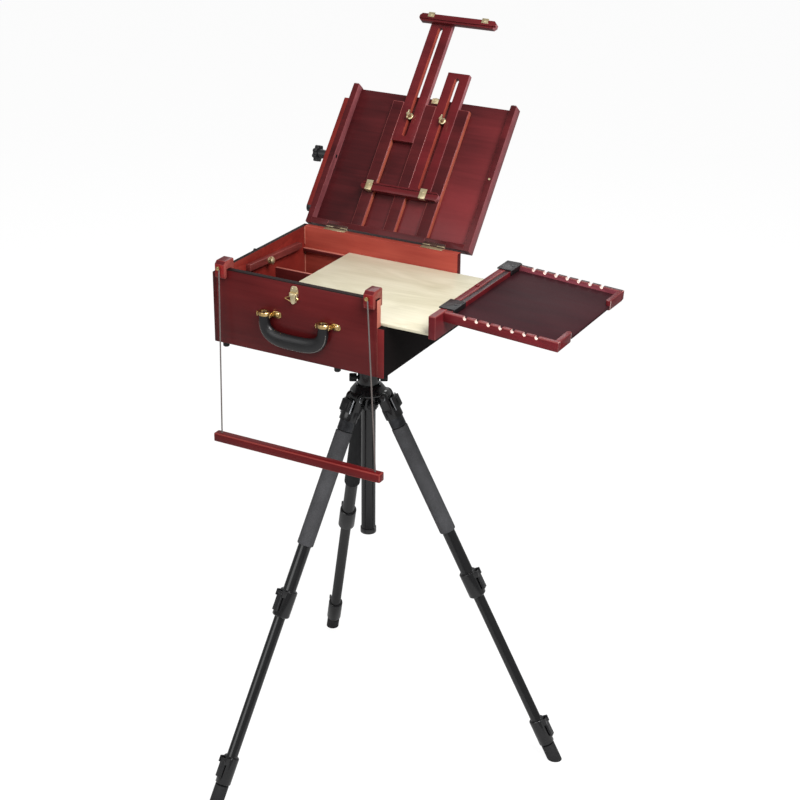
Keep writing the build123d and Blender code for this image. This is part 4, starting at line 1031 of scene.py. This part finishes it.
# %% Tripod pieces
NECK_TOP, NECK_FOOT = -50.5, -78.0
LEVER_FINISHES = [black_plastic, rim_highlight_plastic]
eased("ball_and_plate", "box", [black_metal], 0.0006)
eased("head_body", "head", [black_metal], 0.0008)
eased("tilt_knob", "tilt_knob", [black_plastic], 0.0006)
eased("pan_knob", "pan_knob", [black_plastic], 0.0006)
eased("column", "column", [black_metal], 0.0006)
eased("crown", "crown", [crown_metal, rim_highlight_metal], 0.0012, pale=1)
eased("column_knob", "column_knob", [black_plastic], 0.0006)
for leg in LEG_NAMES:
    neck = LEGS[leg].inverted()
    eased(f"{leg}_upper_leg", f"{leg}_leg", [black_metal, satin_metal, rim_highlight_metal], 0.0006,
          lambda face: 1 if NECK_FOOT < (neck @ face.calc_center_median()).z < NECK_TOP else 0, 2)
    grip = black_foam if leg == "rear" else grey_foam
    eased(f"{leg}_foam_grip", f"{leg}_leg", [grip], 0.0006)
    eased(f"{leg}_upper_lever", f"{leg}_upper_lever", LEVER_FINISHES, 0.0005, pale=1)
    eased(f"{leg}_middle_leg", f"{leg}_middle", [black_metal, rim_highlight_metal], 0.0006, pale=1)
    eased(f"{leg}_lower_lever", f"{leg}_lower_lever", LEVER_FINISHES, 0.0005, pale=1)
    eased(f"{leg}_foot_section", f"{leg}_foot", [rubber], 0.0006)

# %% [markdown]
# Each leg's casting carries a square angle lock on its outer side with a bright pin at either side of
# it, and each shoulder has a polished cap. A cone covers the crown under the head. The column slides
# through it, so it is spun from a closed outline as a ring.

# %% Tripod fittings
LOCK_TOP, LOCK_FOOT, LOCK_HALF = -7.0, -33.0, 13.5
SHOULDER_HALF = 18.5
PIN_OUT, PIN_SIDE = 17, 14.2
for leg in LEG_NAMES:
    place = LEGS[leg]
    lock = bmesh.new()
    block(lock, place, (13, -LOCK_HALF, LOCK_FOOT), (24.5, LOCK_HALF, LOCK_TOP), 1.8)
    block(lock, place, (23.5, -8, LOCK_FOOT + 5), (26.5, 8, LOCK_TOP - 5), 0.9)
    finished(f"{leg}_angle_lock", lock, f"{leg}_leg", [black_plastic])
    trim = bmesh.new()
    for side in (-1, 1):
        cap = facing(place, (0, side * SHOULDER_HALF, 0), (0, side, 0))
        turned(trim, cap, [(6.6, -0.4), (6.6, 0.9), (5.6, 1.7), (2.0, 2.1)])
    for side in (-1, 1):
        rod = facing(place, (PIN_OUT, side * PIN_SIDE, LOCK_FOOT - 2), UPWARD)
        turned(trim, rod, [(1.6, 0), (1.6, LOCK_TOP - LOCK_FOOT + 4)])
    finished(f"{leg}_pin_caps", trim, f"{leg}_leg", [steel])

CROWN_TOP = -140.0
SKIRT_HEIGHT, SKIRT_RADIUS, SKIRT_BORE = 19.0, 40, 24.2
skirt_place = TRIPOD @ Matrix.Translation((0, 0, CROWN_TOP))
skirt = bmesh.new()
turned(skirt, skirt_place, [(SKIRT_BORE, 0.5), (SKIRT_RADIUS, 0.5), (SKIRT_RADIUS, 3),
                            (31, SKIRT_HEIGHT - 4), (26, SKIRT_HEIGHT), (SKIRT_BORE, SKIRT_HEIGHT)],
       bored=True)
finished("crown_skirt", skirt, "crown", [crown_metal])

# %% [markdown]
# ## Light and ground
# The photograph has a soft key light from high on the right and a bright white room. Three square
# lamps give that light. The room looks white to the camera but lights the box only a little: Light
# Path tells the two apart. The ground is a mix of paint and glow, so it looks white and still keeps a
# faint shadow under the feet.

# %% Light
scene = bpy.context.scene
scene.view_settings.view_transform = "Standard"
GROUND_SIZE = 60.0
SHADOW_SHARE = 0.3
GROUND_GLOW = 1.3
ROOM_LIGHT = 0.3


def area_light(name, direction, distance, size, power):
    """A square lamp that faces the box."""
    lamp = bpy.data.lights.new(name, "AREA")
    lamp.size = size
    lamp.energy = power
    lamp_object = bpy.data.objects.new(name, lamp)
    scene.collection.objects.link(lamp_object)
    target = BOX @ Vector((120, 0, 60))
    spot = target + Vector(direction).normalized() * distance
    lamp_object.location = spot
    lamp_object.rotation_euler = (target - spot).to_track_quat("-Z", "Y").to_euler()
    print(name, "lamp of", power, "watts")


area_light("key", (0.8, -0.5, 1.1), 3.0, 1.4, 105)
area_light("fill", (-0.3, -1.0, 0.5), 3.4, 2.4, 34)
area_light("back", (-0.4, 1.0, 0.8), 3.4, 1.6, 24)

studio = bpy.data.worlds.new("studio")
scene.world = studio
room = Finish(studio)
seen = room.node("ShaderNodeLightPath", output="Is Camera Ray")
through = room.node("ShaderNodeLightPath", output="Is Transmission Ray")
strength = room.between(seen.maths("MAXIMUM", seen, through), 0.0, 1.0, ROOM_LIGHT, 1.0)
room.feed(room.tree.nodes["Background"], {"Color": (1, 1, 1, 1), "Strength": strength})

ground = new_finish("ground")
ground.set(Base_Color=(0.6, 0.6, 0.6, 1), Roughness=0.9, Specular_IOR_Level=0.0)
glow = ground.node("ShaderNodeEmission", {}, {"Strength": GROUND_GLOW})
seen = ground.node("ShaderNodeLightPath", output="Is Camera Ray")
shown = ground.node("ShaderNodeMixShader", {}, {0: seen * (1 - SHADOW_SHARE), 2: glow,
                                                1: Value(ground, ground.surface.outputs[0])})
ground.feed(ground.tree.nodes["Material Output"], {"Surface": shown})
sheet = bmesh.new()
bmesh.ops.create_grid(sheet, x_segments=1, y_segments=1, size=GROUND_SIZE)
ground_mesh = bpy.data.meshes.new("ground")
sheet.to_mesh(ground_mesh)
sheet.free()
ground_mesh.materials.append(ground.owner)
ground_piece = bpy.data.objects.new("ground", ground_mesh)
scene.collection.objects.link(ground_piece)
